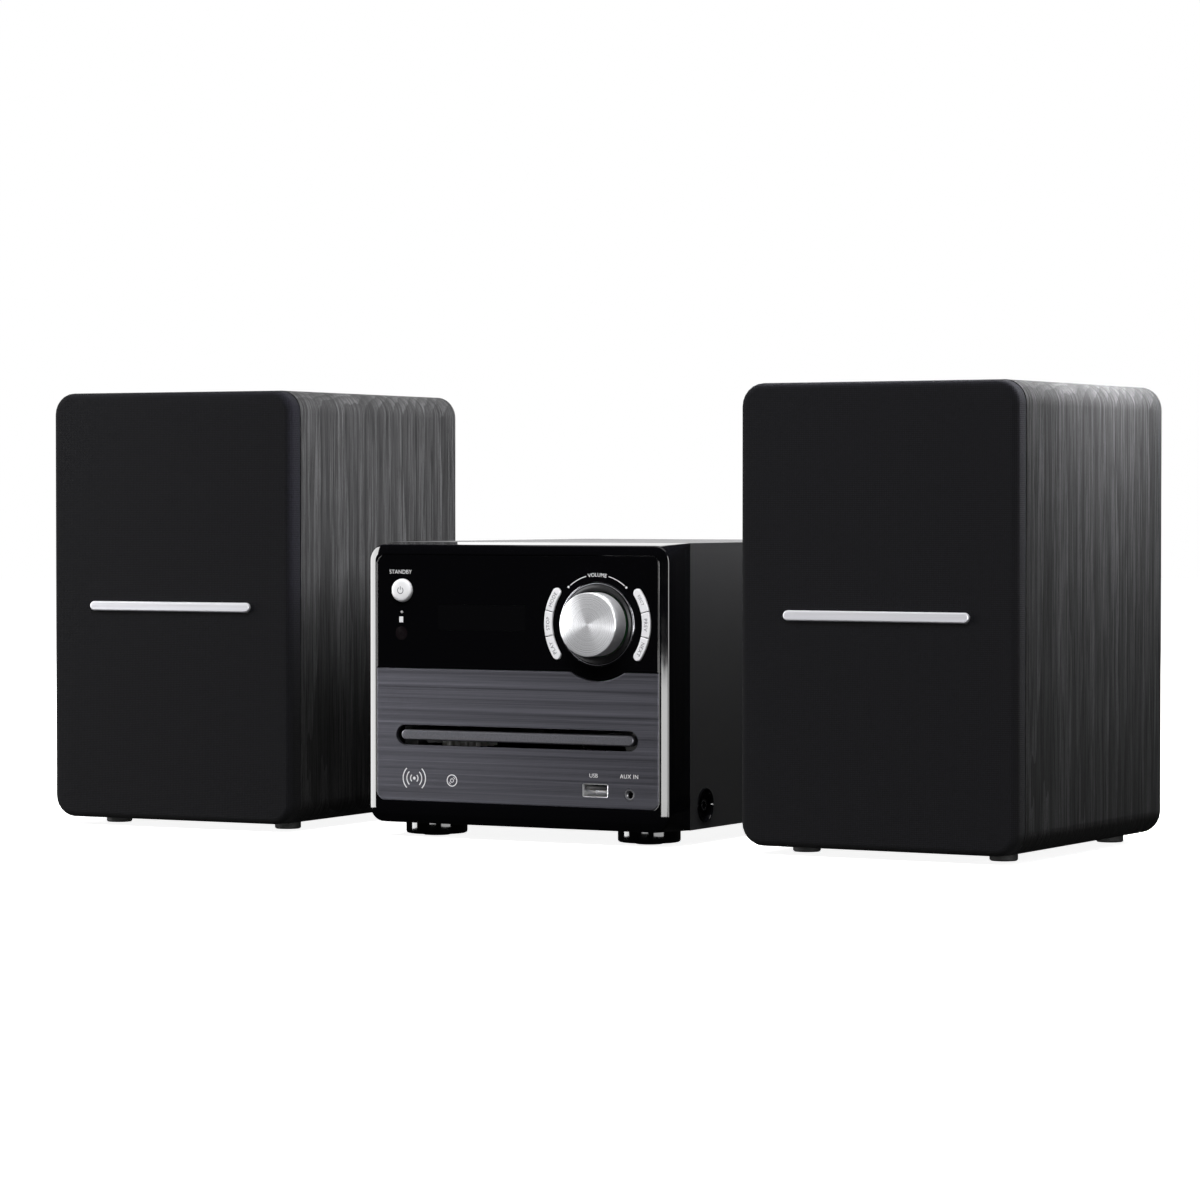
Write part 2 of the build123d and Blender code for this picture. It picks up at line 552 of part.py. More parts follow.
def knob_hub():
    """Plastic plug inside the cap, with the bore that takes the encoder's shaft."""
    radius = KNOB_RADIUS - KNOB_WALL - FIT
    front = KNOB_WALL - KNOB_PROUD + FIT
    hub = rod("y", radius, KNOB_X, front, KNOB_Z, KNOB_TAIL - front)
    bore_start = front + 2.0
    return hub - rod("y", ENCODER_SHAFT_RADIUS + RUNNING_CLEARANCE, KNOB_X, bore_start, KNOB_Z, KNOB_PROUD)


def encoder():
    """Rotary encoder on the control board: body, bushing and shaft."""
    back = BOARD_SETBACK - FIT
    face = back - ENCODER_BODY_DEPTH
    side = ENCODER_BODY / 2
    body = block(KNOB_X - side, KNOB_X + side, face, back, KNOB_Z - side, KNOB_Z + side)
    bushing_gap = 0.6
    body += rod("y", 4.0, KNOB_X, KNOB_TAIL + bushing_gap, KNOB_Z, face - KNOB_TAIL - bushing_gap)
    tip = KNOB_WALL - KNOB_PROUD + FIT + 3.0
    return body + rod("y", ENCODER_SHAFT_RADIUS, KNOB_X, tip, KNOB_Z, face - tip)


def arc_button(side, row):
    """One of the three buttons on a side of the knob: row 1 is the top, 0 the middle, -1 the bottom."""
    gap = degrees(ARC_GAP / 2 / ARC_OUTER)
    start, end = {1: (ARC_SPLIT_ANGLE + gap, ARC_HALF_ANGLE),
                  0: (-ARC_SPLIT_ANGLE + gap, ARC_SPLIT_ANGLE - gap),
                  -1: (-ARC_HALF_ANGLE, -ARC_SPLIT_ANGLE - gap)}[row]
    rounded = [row == -1, row == 1]
    if side < 0:
        start, end = 180 - end, 180 - start
        rounded.reverse()
    place = Pos(KNOB_X, KNOB_Z)
    face = sector(ARC_INNER, ARC_OUTER, start, end, *rounded)
    flange = sector(ARC_INNER - BUTTON_FLANGE, ARC_OUTER + BUTTON_FLANGE, start, end)
    back = PANEL_THICKNESS + FIT
    button = slab(place * face, -BUTTON_PROUD, back + BUTTON_FLANGE_THICKNESS / 2)
    button += slab(place * flange, back, back + BUTTON_FLANGE_THICKNESS)
    return chamfer(button.faces().sort_by(Axis.Y)[0].edges(), BUTTON_EDGE)


def arc_button_middle(side, row):
    """Middle of an arc button, in X and Z, where its switch stands."""
    angle = radians(row * (ARC_SPLIT_ANGLE + ARC_HALF_ANGLE) / 2)
    radius = (ARC_INNER + ARC_OUTER) / 2
    return KNOB_X + side * radius * cos(angle), KNOB_Z + radius * sin(angle)


def standby_button():
    """Round power button with a low domed face."""
    back = PANEL_THICKNESS + FIT
    flange = STANDBY_RADIUS + BUTTON_FLANGE
    dome = fillet(rod("y", STANDBY_RADIUS, STANDBY_X, -STANDBY_PROUD, STANDBY_Z, STANDBY_PROUD + back)
                  .faces().sort_by(Axis.Y)[0].edges(), STANDBY_DOME)
    return dome + rod("y", flange, STANDBY_X, back, STANDBY_Z, BUTTON_FLANGE_THICKNESS)


def switch_places():
    """Every press button's middle, in X and Z."""
    arcs = [arc_button_middle(side, row) for side in (-1, 1) for row in (1, 0, -1)]
    return [(STANDBY_X, STANDBY_Z)] + arcs


def control_board():
    """Circuit board behind the upper fascia: a push switch behind each button, and the display."""
    half = PANEL_HALF - BOARD_MARGIN
    face, back = BOARD_SETBACK, BOARD_SETBACK + BOARD_THICKNESS
    bottom = KNOB_Z - ARC_OUTER - BUTTON_FLANGE
    board = block(-half, half, face, back, bottom, PANEL_TOP - BOARD_MARGIN)
    side = SWITCH_SIDE / 2
    plunger_tip = PANEL_THICKNESS + BUTTON_FLANGE_THICKNESS + BUTTON_TRAVEL + 2 * FIT
    for x, z in switch_places():
        board += block(x - side, x + side, face - SWITCH_HEIGHT, face, z - side, z + side)
        board += rod("y", PLUNGER_RADIUS, x, plunger_tip, z, face - plunger_tip)
    display = Rectangle(WINDOW_WIDTH + 2 * DISPLAY_BORDER, WINDOW_HEIGHT + 2 * DISPLAY_BORDER)
    return board + slab(Pos(WINDOW_X, WINDOW_Z) * display, face - DISPLAY_DEPTH, face)


# ---- Disc tray and loader ------------------------------------------------------------------
def involute(radius, base):
    """Angle by which an involute tooth's side has leant in at a radius, in radians."""
    pressure = acos(base / radius)
    return tan(pressure) - pressure


def gear_outline(teeth, module, backlash):
    """Outline of a spur gear with involute teeth, one tooth pointing along +X."""
    pitch = module * teeth / 2
    base = pitch * cos(radians(PRESSURE_ANGLE))
    root, tip = pitch - 1.25 * module, pitch + module
    half_at_pitch = (pi * module / 2 - backlash) / 2 / pitch + involute(pitch, base)
    steps = 4
    radii = [base + (tip - base) * i / steps for i in range(steps + 1)]
    outline = []
    for tooth in range(teeth):
        middle = 2 * pi * tooth / teeth
        rising = [(root, middle - half_at_pitch)] + [
            (r, middle - half_at_pitch + involute(r, base)) for r in radii]
        falling = [(r, 2 * middle - a) for r, a in reversed(rising)]
        outline += [(r * cos(a), r * sin(a)) for r, a in rising + falling]
    return make_face(Polyline(*outline, close=True))


def tray_pinion():
    """Gear on an upright axle that drives the tray by its rack."""
    gear_top = TRAY_UNDERSIDE - FIT
    gear = extrude(gear_outline(GEAR_TEETH, GEAR_MODULE, GEAR_BACKLASH), GEAR_THICKNESS)
    gear = Rot(0, 0, 180) * gear
    hub = rod("z", 5.0, 0, 0, -2.0, 2.0)
    bore = rod("z", GEAR_AXLE_RADIUS + RUNNING_CLEARANCE, 0, 0, -3, GEAR_THICKNESS + 4)
    return Pos(GEAR_X, GEAR_SETBACK, gear_top - GEAR_THICKNESS) * (gear + hub - bore)


def rack_teeth():
    """Straight rack along Y, its teeth pointing along +X, with a space level with the gear."""
    pitch = pi * GEAR_MODULE
    slope = tan(radians(PRESSURE_ANGLE))
    half = (pitch / 2 - GEAR_BACKLASH) / 2
    tip, root = GEAR_MODULE, 1.25 * GEAR_MODULE
    first = int((TRAY_FRONT + 8 - GEAR_SETBACK) / pitch)
    last = int((TRAY_TRAVEL - 2.0) / pitch)
    points = [(-RACK_BACK - root, GEAR_SETBACK + (first - 0.5) * pitch)]
    for k in range(first, last + 1):
        y = GEAR_SETBACK + (k + 0.5) * pitch
        points += [(-root, y - half - root * slope), (tip, y - half + tip * slope),
                   (tip, y + half - tip * slope), (-root, y + half + root * slope)]
    points += [(-RACK_BACK - root, GEAR_SETBACK + (last + 1.5) * pitch)]
    points = [(x + RACK_X, y) for x, y in points]
    return make_face(Polyline(*points, close=True))


def disc_tray():
    """Tray with a disc recess, an open pickup slot behind the spindle, and the rack below."""
    half = TRAY_WIDTH / 2
    top = TRAY_Z + TRAY_THICKNESS / 2
    tray = block(-half, half, TRAY_FRONT, TRAY_FRONT + TRAY_LENGTH, TRAY_UNDERSIDE, top)
    tray -= rod("z", DISC_RADIUS, 0, DISC_Y, top - DISC_RECESS, DISC_RECESS + 1)
    tray -= rod("z", PICKUP_SLOT_WIDTH / 2, 0, DISC_Y, 0, top + 1)
    tray -= block(-PICKUP_SLOT_WIDTH / 2, PICKUP_SLOT_WIDTH / 2, DISC_Y, TRAY_FRONT + TRAY_LENGTH + 1,
                  0, top + 1)
    rack = extrude(rack_teeth(), RACK_HEIGHT)
    return tray + Pos(0, 0, TRAY_UNDERSIDE - RACK_HEIGHT) * rack


def tray_front():
    """Rounded bar on the tray's front, seen inside the mouth of the lower fascia."""
    bar = slab(Pos(0, TRAY_Z) * SlotOverall(TRAY_BAR_WIDTH, TRAY_BAR_HEIGHT), TRAY_BAR_SETBACK, TRAY_FRONT)
    return fillet(bar.faces().sort_by(Axis.Y)[0].edges(), TRAY_BAR_EDGE)


def loader_frame():
    """Moulded loader: floor, side guides with lips, rod carriers, motor well and four legs."""
    half = TRAY_WIDTH / 2 + SLIDE_CLEARANCE
    front = PANEL_THICKNESS + BEZEL_WALL + 3 * FIT
    back = TRAY_FRONT + TRAY_LENGTH + 6.0
    tray_top = TRAY_Z + TRAY_THICKNESS / 2
    rail_top = tray_top + SLIDE_CLEARANCE + 1.5
    frame = block(-half - LOADER_WALL, half + LOADER_WALL, front, back, LOADER_Z, LOADER_Z + LOADER_FLOOR)
    shelf, lip = 5.0, 1.4
    for side in (-1, 1):
        wall = sorted((side * half, side * (half + LOADER_WALL)))
        under = sorted((side * (half - shelf), side * half))
        over = sorted((side * (half - lip), side * half))
        frame += block(*wall, front, back, LOADER_Z, rail_top)
        frame += block(*under, front, back, LOADER_Z, TRAY_UNDERSIDE - SLIDE_CLEARANCE)
        frame += block(*over, front, back, tray_top + SLIDE_CLEARANCE, rail_top)
    frame += gear_axle()
    frame += rod_carriers()
    frame -= rod("z", MOTOR_RADIUS, 0, DISC_Y, LOADER_Z - 1, LOADER_FLOOR + 2)
    leg_length = LOADER_Z - BASE_Z - BASE_WALL - FIT
    for x, y in four_corners(half - 2.0, front + 22.0, back - 6.0):
        frame += rod("z", LOADER_POST_RADIUS, x, y, LOADER_Z - leg_length, leg_length)
    return frame


def gear_axle():
    """Upright pin for the tray pinion, with a shoulder under the gear's hub."""
    gear_top = TRAY_UNDERSIDE - FIT
    shoulder_top = gear_top - GEAR_THICKNESS - 2.0 - FIT
    shoulder = rod("z", 4.5, GEAR_X, GEAR_SETBACK, LOADER_Z, shoulder_top - LOADER_Z)
    return shoulder + rod("z", GEAR_AXLE_RADIUS, GEAR_X, GEAR_SETBACK, LOADER_Z, gear_top - LOADER_Z)


def rod_carriers():
    """Two polished rods that the pickup slides on, held by a rib at each end."""
    start = DISC_Y + MOTOR_RADIUS + 2.0
    end = DISC_Y + SLED_START + SLED_TRAVEL + SLED_LENGTH + 4.0
    rod_z = sled_z()
    ribs = None
    for y in (start, end):
        rib = block(-PICKUP_SLOT_WIDTH / 2 + 2, PICKUP_SLOT_WIDTH / 2 - 2, y, y + 3.0, LOADER_Z,
                    rod_z + ROD_RADIUS + 0.3)
        ribs = rib if ribs is None else ribs + rib
    for side in (-1, 1):
        ribs += rod("y", ROD_RADIUS, side * ROD_SPACING / 2, start, rod_z, end - start + 3.0)
    return ribs


def sled_z():
    """Height of the pickup's rods, under the tray."""
    return TRAY_UNDERSIDE - SLED_HEIGHT / 2 - 1.2


def pickup_sled():
    """Laser pickup: a carriage bored for the two rods, with its round lens on top."""
    half_width = ROD_SPACING / 2 + ROD_RADIUS + 2.0
    y0 = DISC_Y + SLED_START
    z = sled_z()
    sled = block(-half_width, half_width, y0, y0 + SLED_LENGTH, z - SLED_HEIGHT / 2, z + SLED_HEIGHT / 2)
    for side in (-1, 1):
        sled -= rod("y", ROD_RADIUS + RUNNING_CLEARANCE, side * ROD_SPACING / 2, y0 - 1, z, SLED_LENGTH + 2)
    lens_y = y0 + SLED_LENGTH / 2
    sled += rod("z", 5.0, 0, lens_y, z + SLED_HEIGHT / 2, 0.8)
    return sled + rod("z", 2.2, 0, lens_y, z + SLED_HEIGHT / 2, 1.4)


def spindle_motor():
    """Flat motor hung in the loader's floor, with its spindle upwards."""
    height = 6.0
    motor_top = LOADER_Z + height
    flange = rod("z", MOTOR_RADIUS + 2.0, 0, DISC_Y, LOADER_Z + LOADER_FLOOR + FIT, 1.0)
    body = rod("z", MOTOR_RADIUS - FIT, 0, DISC_Y, LOADER_Z - 3.0, height + 3.0)
    spindle_top = TRAY_UNDERSIDE + DISC_RECESS - 1.0
    return body + flange + rod("z", SPINDLE_RADIUS, 0, DISC_Y, motor_top, spindle_top - motor_top)


def turntable():
    """Disc table on the motor's spindle, with a coned hub that centres the disc."""
    top = TRAY_Z + TRAY_THICKNESS / 2 - DISC_RECESS + 0.4
    table = rod("z", TURNTABLE_RADIUS, 0, DISC_Y, top - TURNTABLE_HEIGHT, TURNTABLE_HEIGHT)
    hub = rod("z", TURNTABLE_HUB_RADIUS, 0, DISC_Y, top, 1.6)
    hub = chamfer(hub.faces().sort_by(Axis.Z)[-1].edges(), 0.8)
    spindle_top = TRAY_UNDERSIDE + DISC_RECESS - 1.0
    bore_floor = top - TURNTABLE_HEIGHT - 1
    bore = rod("z", SPINDLE_RADIUS + RUNNING_CLEARANCE, 0, DISC_Y, bore_floor, spindle_top + FIT - bore_floor)
    return table + hub - bore


# ---- Electronics and sockets ---------------------------------------------------------------
def main_board():
    """Amplifier and tuner board on the floor, with its heatsink and tall parts."""
    floor = BASE_Z + BASE_WALL
    z0 = floor + MAIN_BOARD_LIFT
    back = UNIT_DEPTH - MAIN_BOARD_SETBACK
    front, right = back - MAIN_BOARD_LENGTH, MAIN_BOARD_LEFT + MAIN_BOARD_WIDTH
    board = block(MAIN_BOARD_LEFT, right, front, back, z0, z0 + BOARD_THICKNESS)
    top = z0 + BOARD_THICKNESS
    for x, y, radius, height in CAPACITORS:
        board += rod("z", radius, MAIN_BOARD_LEFT + x, front + y, top, height)
    chip_x, chip_y = MAIN_BOARD_LEFT + CHIP_X, front + CHIP_Y
    board += block(chip_x, chip_x + CHIP_SIDE, chip_y, chip_y + CHIP_SIDE, top, top + CHIP_HEIGHT)
    sink_x, sink_y = MAIN_BOARD_LEFT + HEATSINK_X, back - HEATSINK_SETBACK
    sink_back = sink_y + HEATSINK_DEPTH
    board += block(sink_x, sink_x + HEATSINK_WIDTH, sink_y, sink_back, top, top + HEATSINK_FOOT)
    for i in range(FIN_COUNT):
        x = sink_x + FIN_MARGIN + i * FIN_PITCH
        board += block(x, x + FIN_THICKNESS, sink_y, sink_back, top, top + FIN_HEIGHT)
    inset = MAIN_BOARD_POST_INSET
    for x in (MAIN_BOARD_LEFT + inset, right - inset):
        for y in (front + inset, back - inset):
            board += rod("z", MAIN_BOARD_POST_RADIUS, x, y, floor + FIT, MAIN_BOARD_LIFT - FIT)
    return board


def transformer():
    """Mains transformer: laminated core round a wound bobbin, on a foot plate."""
    x0, x1 = TRANSFORMER_X - TRANSFORMER_WIDTH / 2, TRANSFORMER_X + TRANSFORMER_WIDTH / 2
    y1 = UNIT_DEPTH - TRANSFORMER_SETBACK
    y0 = y1 - TRANSFORMER_LENGTH
    bulge, plate = BOBBIN_BULGE, TRANSFORMER_PLATE
    z0 = BASE_Z + BASE_WALL + FIT
    top = z0 + TRANSFORMER_HEIGHT
    core = block(x0, x1, y0 + bulge, y1 - bulge, z0 + plate, top)
    coil = block(x0 + CORE_LIMB, x1 - CORE_LIMB, y0, y1, z0 + CORE_LIMB, top - CORE_LIMB + 1)
    foot = block(x0 - TRANSFORMER_LUG, x1 + TRANSFORMER_LUG, y0 + bulge, y1 - bulge, z0, z0 + plate)
    return core + coil + foot


def usb_socket():
    """Folded metal USB socket: open shell, back wall and contact tongue."""
    front = 0.3
    outer = Pos(USB_X, USB_Z) * RectangleRounded(USB_WIDTH, USB_HEIGHT, 0.9)
    inner = Pos(USB_X, USB_Z) * RectangleRounded(USB_WIDTH - 2 * USB_WALL, USB_HEIGHT - 2 * USB_WALL, 0.6)
    shell = slab(outer, front, USB_DEPTH) - slab(inner, front - 1, USB_DEPTH - 1.5)
    tongue_top = USB_Z + USB_HEIGHT / 2 - USB_WALL - 0.5
    return shell + block(USB_X - 5.6, USB_X + 5.6, front + 1.6, USB_DEPTH - 1, tongue_top - 1.8, tongue_top)


def aux_jack():
    """Front audio input: threaded barrel behind a small ring, with its bore."""
    jack = rod("y", AUX_RING_RADIUS, AUX_X, 0.2, AUX_Z, PANEL_THICKNESS)
    jack += rod("y", AUX_BODY_RADIUS, AUX_X, PANEL_THICKNESS + FIT, AUX_Z, JACK_DEPTH)
    return jack - rod("y", JACK_BORE_RADIUS, AUX_X, -1, AUX_Z, JACK_DEPTH)


def headphone_jack():
    """Side socket: a dished moulding with a collar round the bore."""
    wall_x = UNIT_WIDTH / 2
    floor_depth = HEADPHONE_DISH_DEPTH
    rim, dish = HEADPHONE_RIM, HEADPHONE_DISH_RADIUS
    section = [(0, -JACK_DEPTH), (5.0, -JACK_DEPTH), (5.0, -floor_depth - 1.5),
               (dish - rim, -floor_depth - 1.0), (dish - rim, 0), (dish, 0), (dish, 0.3),
               (dish - rim, 0.5), (dish - 1.6 * rim, 0.2), (HEADPHONE_COLLAR_RADIUS + 0.8, -floor_depth),
               (HEADPHONE_COLLAR_RADIUS, -floor_depth), (HEADPHONE_COLLAR_RADIUS, -floor_depth + 1.6),
               (0, -floor_depth + 1.6)]
    body = revolve(make_face(Polyline(*section, close=True)), Axis.Y)
    body -= rod("y", JACK_BORE_RADIUS, 0, -JACK_DEPTH + 1.5, 0, JACK_DEPTH + 2)
    return Pos(wall_x, HEADPHONE_SETBACK, HEADPHONE_Z) * Rot(0, 0, -90) * body


def rear_socket_places():
    """Left and right speaker outputs side by side, with the antenna input above them."""
    z = UNIT_LIFT + REAR_SOCKET_RISE
    half = REAR_SOCKET_SPACING / 2
    antenna_z = z + 1.5 * REAR_SOCKET_SPACING
    return [(REAR_SOCKET_X - half, z), (REAR_SOCKET_X + half, z), (REAR_SOCKET_X, antenna_z)]


def rear_sockets():
    """Three like round sockets, each a flanged body behind the back plate with its barrel through it."""
    back = UNIT_DEPTH - REAR_WALL - FIT
    tip = UNIT_DEPTH + REAR_SOCKET_PROUD
    sockets = []
    depth = REAR_SOCKET_BODY_DEPTH
    for x, z in rear_socket_places():
        socket = rod("y", REAR_SOCKET_BODY_RADIUS, x, back - depth, z, depth)
        socket += rod("y", REAR_SOCKET_RADIUS, x, back - 1, z, tip - back + 1)
        bore = rod("y", REAR_SOCKET_PIN_RADIUS, x, tip - REAR_SOCKET_DEPTH, z, REAR_SOCKET_DEPTH + 1)
        sockets.append(socket - bore)
    return Compound(children=sockets)


def mains_inlet():
    """Two-pin mains inlet, open to the back."""
    z = UNIT_LIFT + INLET_RISE
    back = UNIT_DEPTH + 0.8
    half_w, half_h = INLET_WIDTH / 2, INLET_HEIGHT / 2
    body = block(INLET_X - half_w, INLET_X + half_w, back - INLET_DEPTH, back, z - half_h, z + half_h)
    well = half_w - INLET_WALL
    body -= block(INLET_X - well, INLET_X + well, back - INLET_DEPTH + 3, back + 1,
                  z - half_h + INLET_WALL, z + half_h - INLET_WALL)
    for side in (-1, 1):
        x = INLET_X + side * INLET_PIN_SPACING / 2
        body += rod("y", INLET_PIN_RADIUS, x, back - INLET_DEPTH + 2, z, INLET_DEPTH - 5)
    return body


def unit_parts():
    """Every piece of the main unit by name."""
    pieces = {piece.__name__: piece() for piece in (
        cover, base_plate, rear_panel, unit_screws, unit_feet, foot_pads, bezel, upper_fascia, lower_fascia,
        display_window, knob_ring, knob_cap, knob_hub, encoder, standby_button, control_board,
        disc_tray, tray_front, tray_pinion, loader_frame, spindle_motor, turntable, pickup_sled, main_board,
        transformer, usb_socket, aux_jack, headphone_jack, rear_sockets, mains_inlet)}
    names = {(-1, 1): "mode_button", (-1, 0): "stop_button", (-1, -1): "play_button",
             (1, 1): "eject_button", (1, 0): "previous_button", (1, -1): "next_button"}
    for (side, row), name in names.items():
        pieces[name] = arc_button(side, row)
    return pieces


# ---- Speakers ------------------------------------------------------------------------------
def speaker_outline(shrink=0.0):
    """Rounded front outline of a speaker, drawn in X and Z."""
    width, height = SPEAKER_WIDTH - 2 * shrink, SPEAKER_HEIGHT - 2 * shrink
    radius = max(SPEAKER_EDGE_RADIUS - shrink, 1.0)
    return Pos(0, SPEAKER_MID_Z) * RectangleRounded(width, height, radius)


def inside_outline(shrink=0.0):
    """Outline of the space inside the speaker's walls."""
    width = SPEAKER_WIDTH - 2 * (SPEAKER_WALL + shrink)
    height = SPEAKER_HEIGHT - 2 * (SPEAKER_WALL + shrink)
    return Pos(0, SPEAKER_MID_Z) * RectangleRounded(width, height, 3.0)


def speaker_cabinet():
    """Wrapped wooden box, open in front for the baffle."""
    box = slab(speaker_outline(), GRILLE_DEPTH, SPEAKER_DEPTH)
    box -= slab(inside_outline(), GRILLE_DEPTH - 1, SPEAKER_DEPTH - SPEAKER_WALL)
    gland_z = SPEAKER_LIFT + GLAND_RISE
    return box - rod("y", GLAND_RADIUS + FIT, 0, SPEAKER_DEPTH - SPEAKER_WALL - 1, gland_z, SPEAKER_WALL + 2)


def peg_places():
    """The four pegs that hold the grille, in X and Z."""
    half_x = SPEAKER_WIDTH / 2 - SPEAKER_WALL - PEG_INSET / 2
    half_z = SPEAKER_HEIGHT / 2 - SPEAKER_WALL - PEG_INSET / 2
    return [(sx * half_x, SPEAKER_MID_Z + sz * half_z) for sx in (-1, 1) for sz in (-1, 1)]


def speaker_baffle():
    """Front board with holes for driver, port and grille pegs."""
    board = slab(inside_outline(FIT), GRILLE_DEPTH, GRILLE_DEPTH + BAFFLE_THICKNESS)
    depth = BAFFLE_THICKNESS + 2
    board -= rod("y", DRIVER_HOLE_RADIUS, 0, GRILLE_DEPTH - 1, DRIVER_Z, depth)
    board -= rod("y", PORT_RADIUS + PORT_WALL + FIT, 0, GRILLE_DEPTH - 1, PORT_Z, depth)
    for x, z in peg_places():
        board -= rod("y", PEG_RADIUS + RUNNING_CLEARANCE, x, GRILLE_DEPTH - 1, z, PEG_LENGTH + 2)
    for x, z in driver_screw_places():
        board -= rod("y", SCREW_RADIUS + FIT, x, GRILLE_DEPTH - 1, z, depth)
    return board


def driver_screw_places():
    """Four screws round the driver's flange."""
    reach = DRIVER_SCREW_CIRCLE * cos(pi / 4)
    return [(sx * reach, DRIVER_Z + sz * reach) for sx in (-1, 1) for sz in (-1, 1)]


def driver_screws():
    """Pan-head wood screws that hold the driver."""
    face = GRILLE_DEPTH - DRIVER_FLANGE
    screws = []
    for x, z in driver_screw_places():
        screw = rod("y", SCREW_HEAD_RADIUS, x, face - SCREW_HEAD_HEIGHT, z, SCREW_HEAD_HEIGHT)
        screws.append(screw + rod("y", SCREW_RADIUS, x, face - 0.5, z, 12.0))
    return Compound(children=screws)


def driver_basket():
    """Pressed driver frame: front flange and a bowl down to the magnet."""
    y0 = GRILLE_DEPTH - DRIVER_FLANGE
    hole = DRIVER_HOLE_RADIUS - 0.5
    back = y0 + DRIVER_DEPTH
    flange_back = y0 + DRIVER_FLANGE
    section = [(CONE_RADIUS + 2.0, y0), (DRIVER_FLANGE_RADIUS, y0), (DRIVER_FLANGE_RADIUS, flange_back),
               (hole, flange_back), (hole, y0 + 8.0), (DRIVER_BACK_RADIUS + 2.0, back),
               (14.0, back), (14.0, back - 2.0), (DRIVER_BACK_RADIUS, back - 2.0), (hole - 2.0, y0 + 8.0),
               (CONE_RADIUS + 4.0, y0 + 1.5), (CONE_RADIUS + 2.0, y0 + 1.5)]
    basket = turned(section, 0, DRIVER_Z)
    for x, z in driver_screw_places():
        basket -= rod("y", SCREW_RADIUS + FIT, x, y0 - 1, z, DRIVER_FLANGE + 2)
    return basket


def driver_cone():
    """Paper cone with its dust cap, rubber surround and voice coil."""
    y0 = GRILLE_DEPTH - DRIVER_FLANGE + 1.7
    throat = y0 + 18.0
    skin = 1.0
    section = [(0, throat - 5.0), (DUST_CAP_RADIUS * 0.7, throat - 3.6), (DUST_CAP_RADIUS, throat),
               (CONE_RADIUS - 4.0, y0), (CONE_RADIUS - 2.0, y0 - 1.6), (CONE_RADIUS, y0 - 1.6),
               (CONE_RADIUS + 2.0, y0), (CONE_RADIUS + 3.2, y0), (CONE_RADIUS + 3.2, y0 + skin),
               (CONE_RADIUS - 4.0, y0 + skin), (DUST_CAP_RADIUS, throat + skin + 0.6),
               (DUST_CAP_RADIUS, throat + 12.0), (DUST_CAP_RADIUS - 1.0, throat + 12.0),
               (DUST_CAP_RADIUS - 1.0, throat), (0, throat - 4.0)]
    return turned(section, 0, DRIVER_Z)


def driver_magnet():
    """Ferrite ring magnet between steel plates, behind the driver's frame."""
    back = GRILLE_DEPTH - DRIVER_FLANGE + DRIVER_DEPTH + FIT
    end = back + MAGNET_HEIGHT
    plate_radius, recess_radius = MAGNET_RADIUS - 3.0, DUST_CAP_RADIUS - 1.5
    front_step, rear_step = back + MAGNET_PLATE, end - MAGNET_PLATE
    section = [(0, end), (0, back + 1), (recess_radius, back + 1), (recess_radius, back),
               (plate_radius, back), (plate_radius, front_step), (MAGNET_RADIUS, front_step),
               (MAGNET_RADIUS, rear_step), (plate_radius, rear_step), (plate_radius, end)]
    return turned(section, 0, DRIVER_Z)


def port_tube():
    """Flared reflex port through the baffle."""
    y0 = GRILLE_DEPTH - 1.8
    r0, r1 = PORT_RADIUS, PORT_RADIUS + PORT_WALL
    section = [(PORT_FLANGE_RADIUS, y0 + 0.6), (PORT_FLANGE_RADIUS, GRILLE_DEPTH), (r1, GRILLE_DEPTH),
               (r1, y0 + PORT_LENGTH), (r0, y0 + PORT_LENGTH), (r0, y0 + 6.0), (r0 + 1.2, y0 + 2.0),
               (r0 + 3.5, y0)]
    return turned(section, 0, PORT_Z)


def lead_gland():
    """Rubber gland in the cabinet's back where the speaker's lead comes out."""
    z = SPEAKER_LIFT + GLAND_RISE
    inner = SPEAKER_DEPTH - SPEAKER_WALL
    gland = rod("y", GLAND_RADIUS, 0, inner, z, SPEAKER_WALL + GLAND_PROUD)
    gland += rod("y", GLAND_RADIUS + 2.0, 0, SPEAKER_DEPTH + FIT, z, 1.6)
    return gland - rod("y", GLAND_BORE, 0, inner - 1, z, SPEAKER_WALL + GLAND_PROUD + 2)


def grille_frame():
    """Moulded frame behind the cloth, with a cross bar and four pegs."""
    front = CLOTH_THICKNESS + FIT
    back = GRILLE_DEPTH - GRILLE_GAP
    shrink = GRILLE_SHRINK
    frame = slab(speaker_outline(shrink), front, back)
    window = slab(speaker_outline(shrink + FRAME_BORDER), front - 1, back + 1)
    frame = fillet(frame.faces().sort_by(Axis.Y)[0].edges(), GRILLE_EDGE - CLOTH_THICKNESS) - window
    half = SPEAKER_WIDTH / 2 - shrink - FRAME_BORDER / 2
    bar_back = GRILLE_DEPTH - DRIVER_FLANGE - SCREW_HEAD_HEIGHT - 1.0
    frame += block(-half, half, front, bar_back, BAR_Z - FRAME_BAR / 2, BAR_Z + FRAME_BAR / 2)
    for x, z in peg_places():
        frame += rod("y", PEG_RADIUS + 1.5, x, front + 1.0, z, back - front - 1.0)
        frame += rod("y", PEG_RADIUS, x, back - 1.0, z, GRILLE_DEPTH + PEG_LENGTH - back + 1.0)
    return frame


def grille_cloth():
    """Black cloth stretched over the frame's front and turned over its edges."""
    back = GRILLE_DEPTH - GRILLE_GAP
    outer = slab(speaker_outline(GRILLE_INSET), 0, back)
    outer = fillet(outer.faces().sort_by(Axis.Y)[0].edges(), GRILLE_EDGE)
    inner = slab(speaker_outline(GRILLE_INSET + CLOTH_THICKNESS), CLOTH_THICKNESS, back + 1)
    inner = fillet(inner.faces().sort_by(Axis.Y)[0].edges(), GRILLE_EDGE - CLOTH_THICKNESS)
    return outer - inner


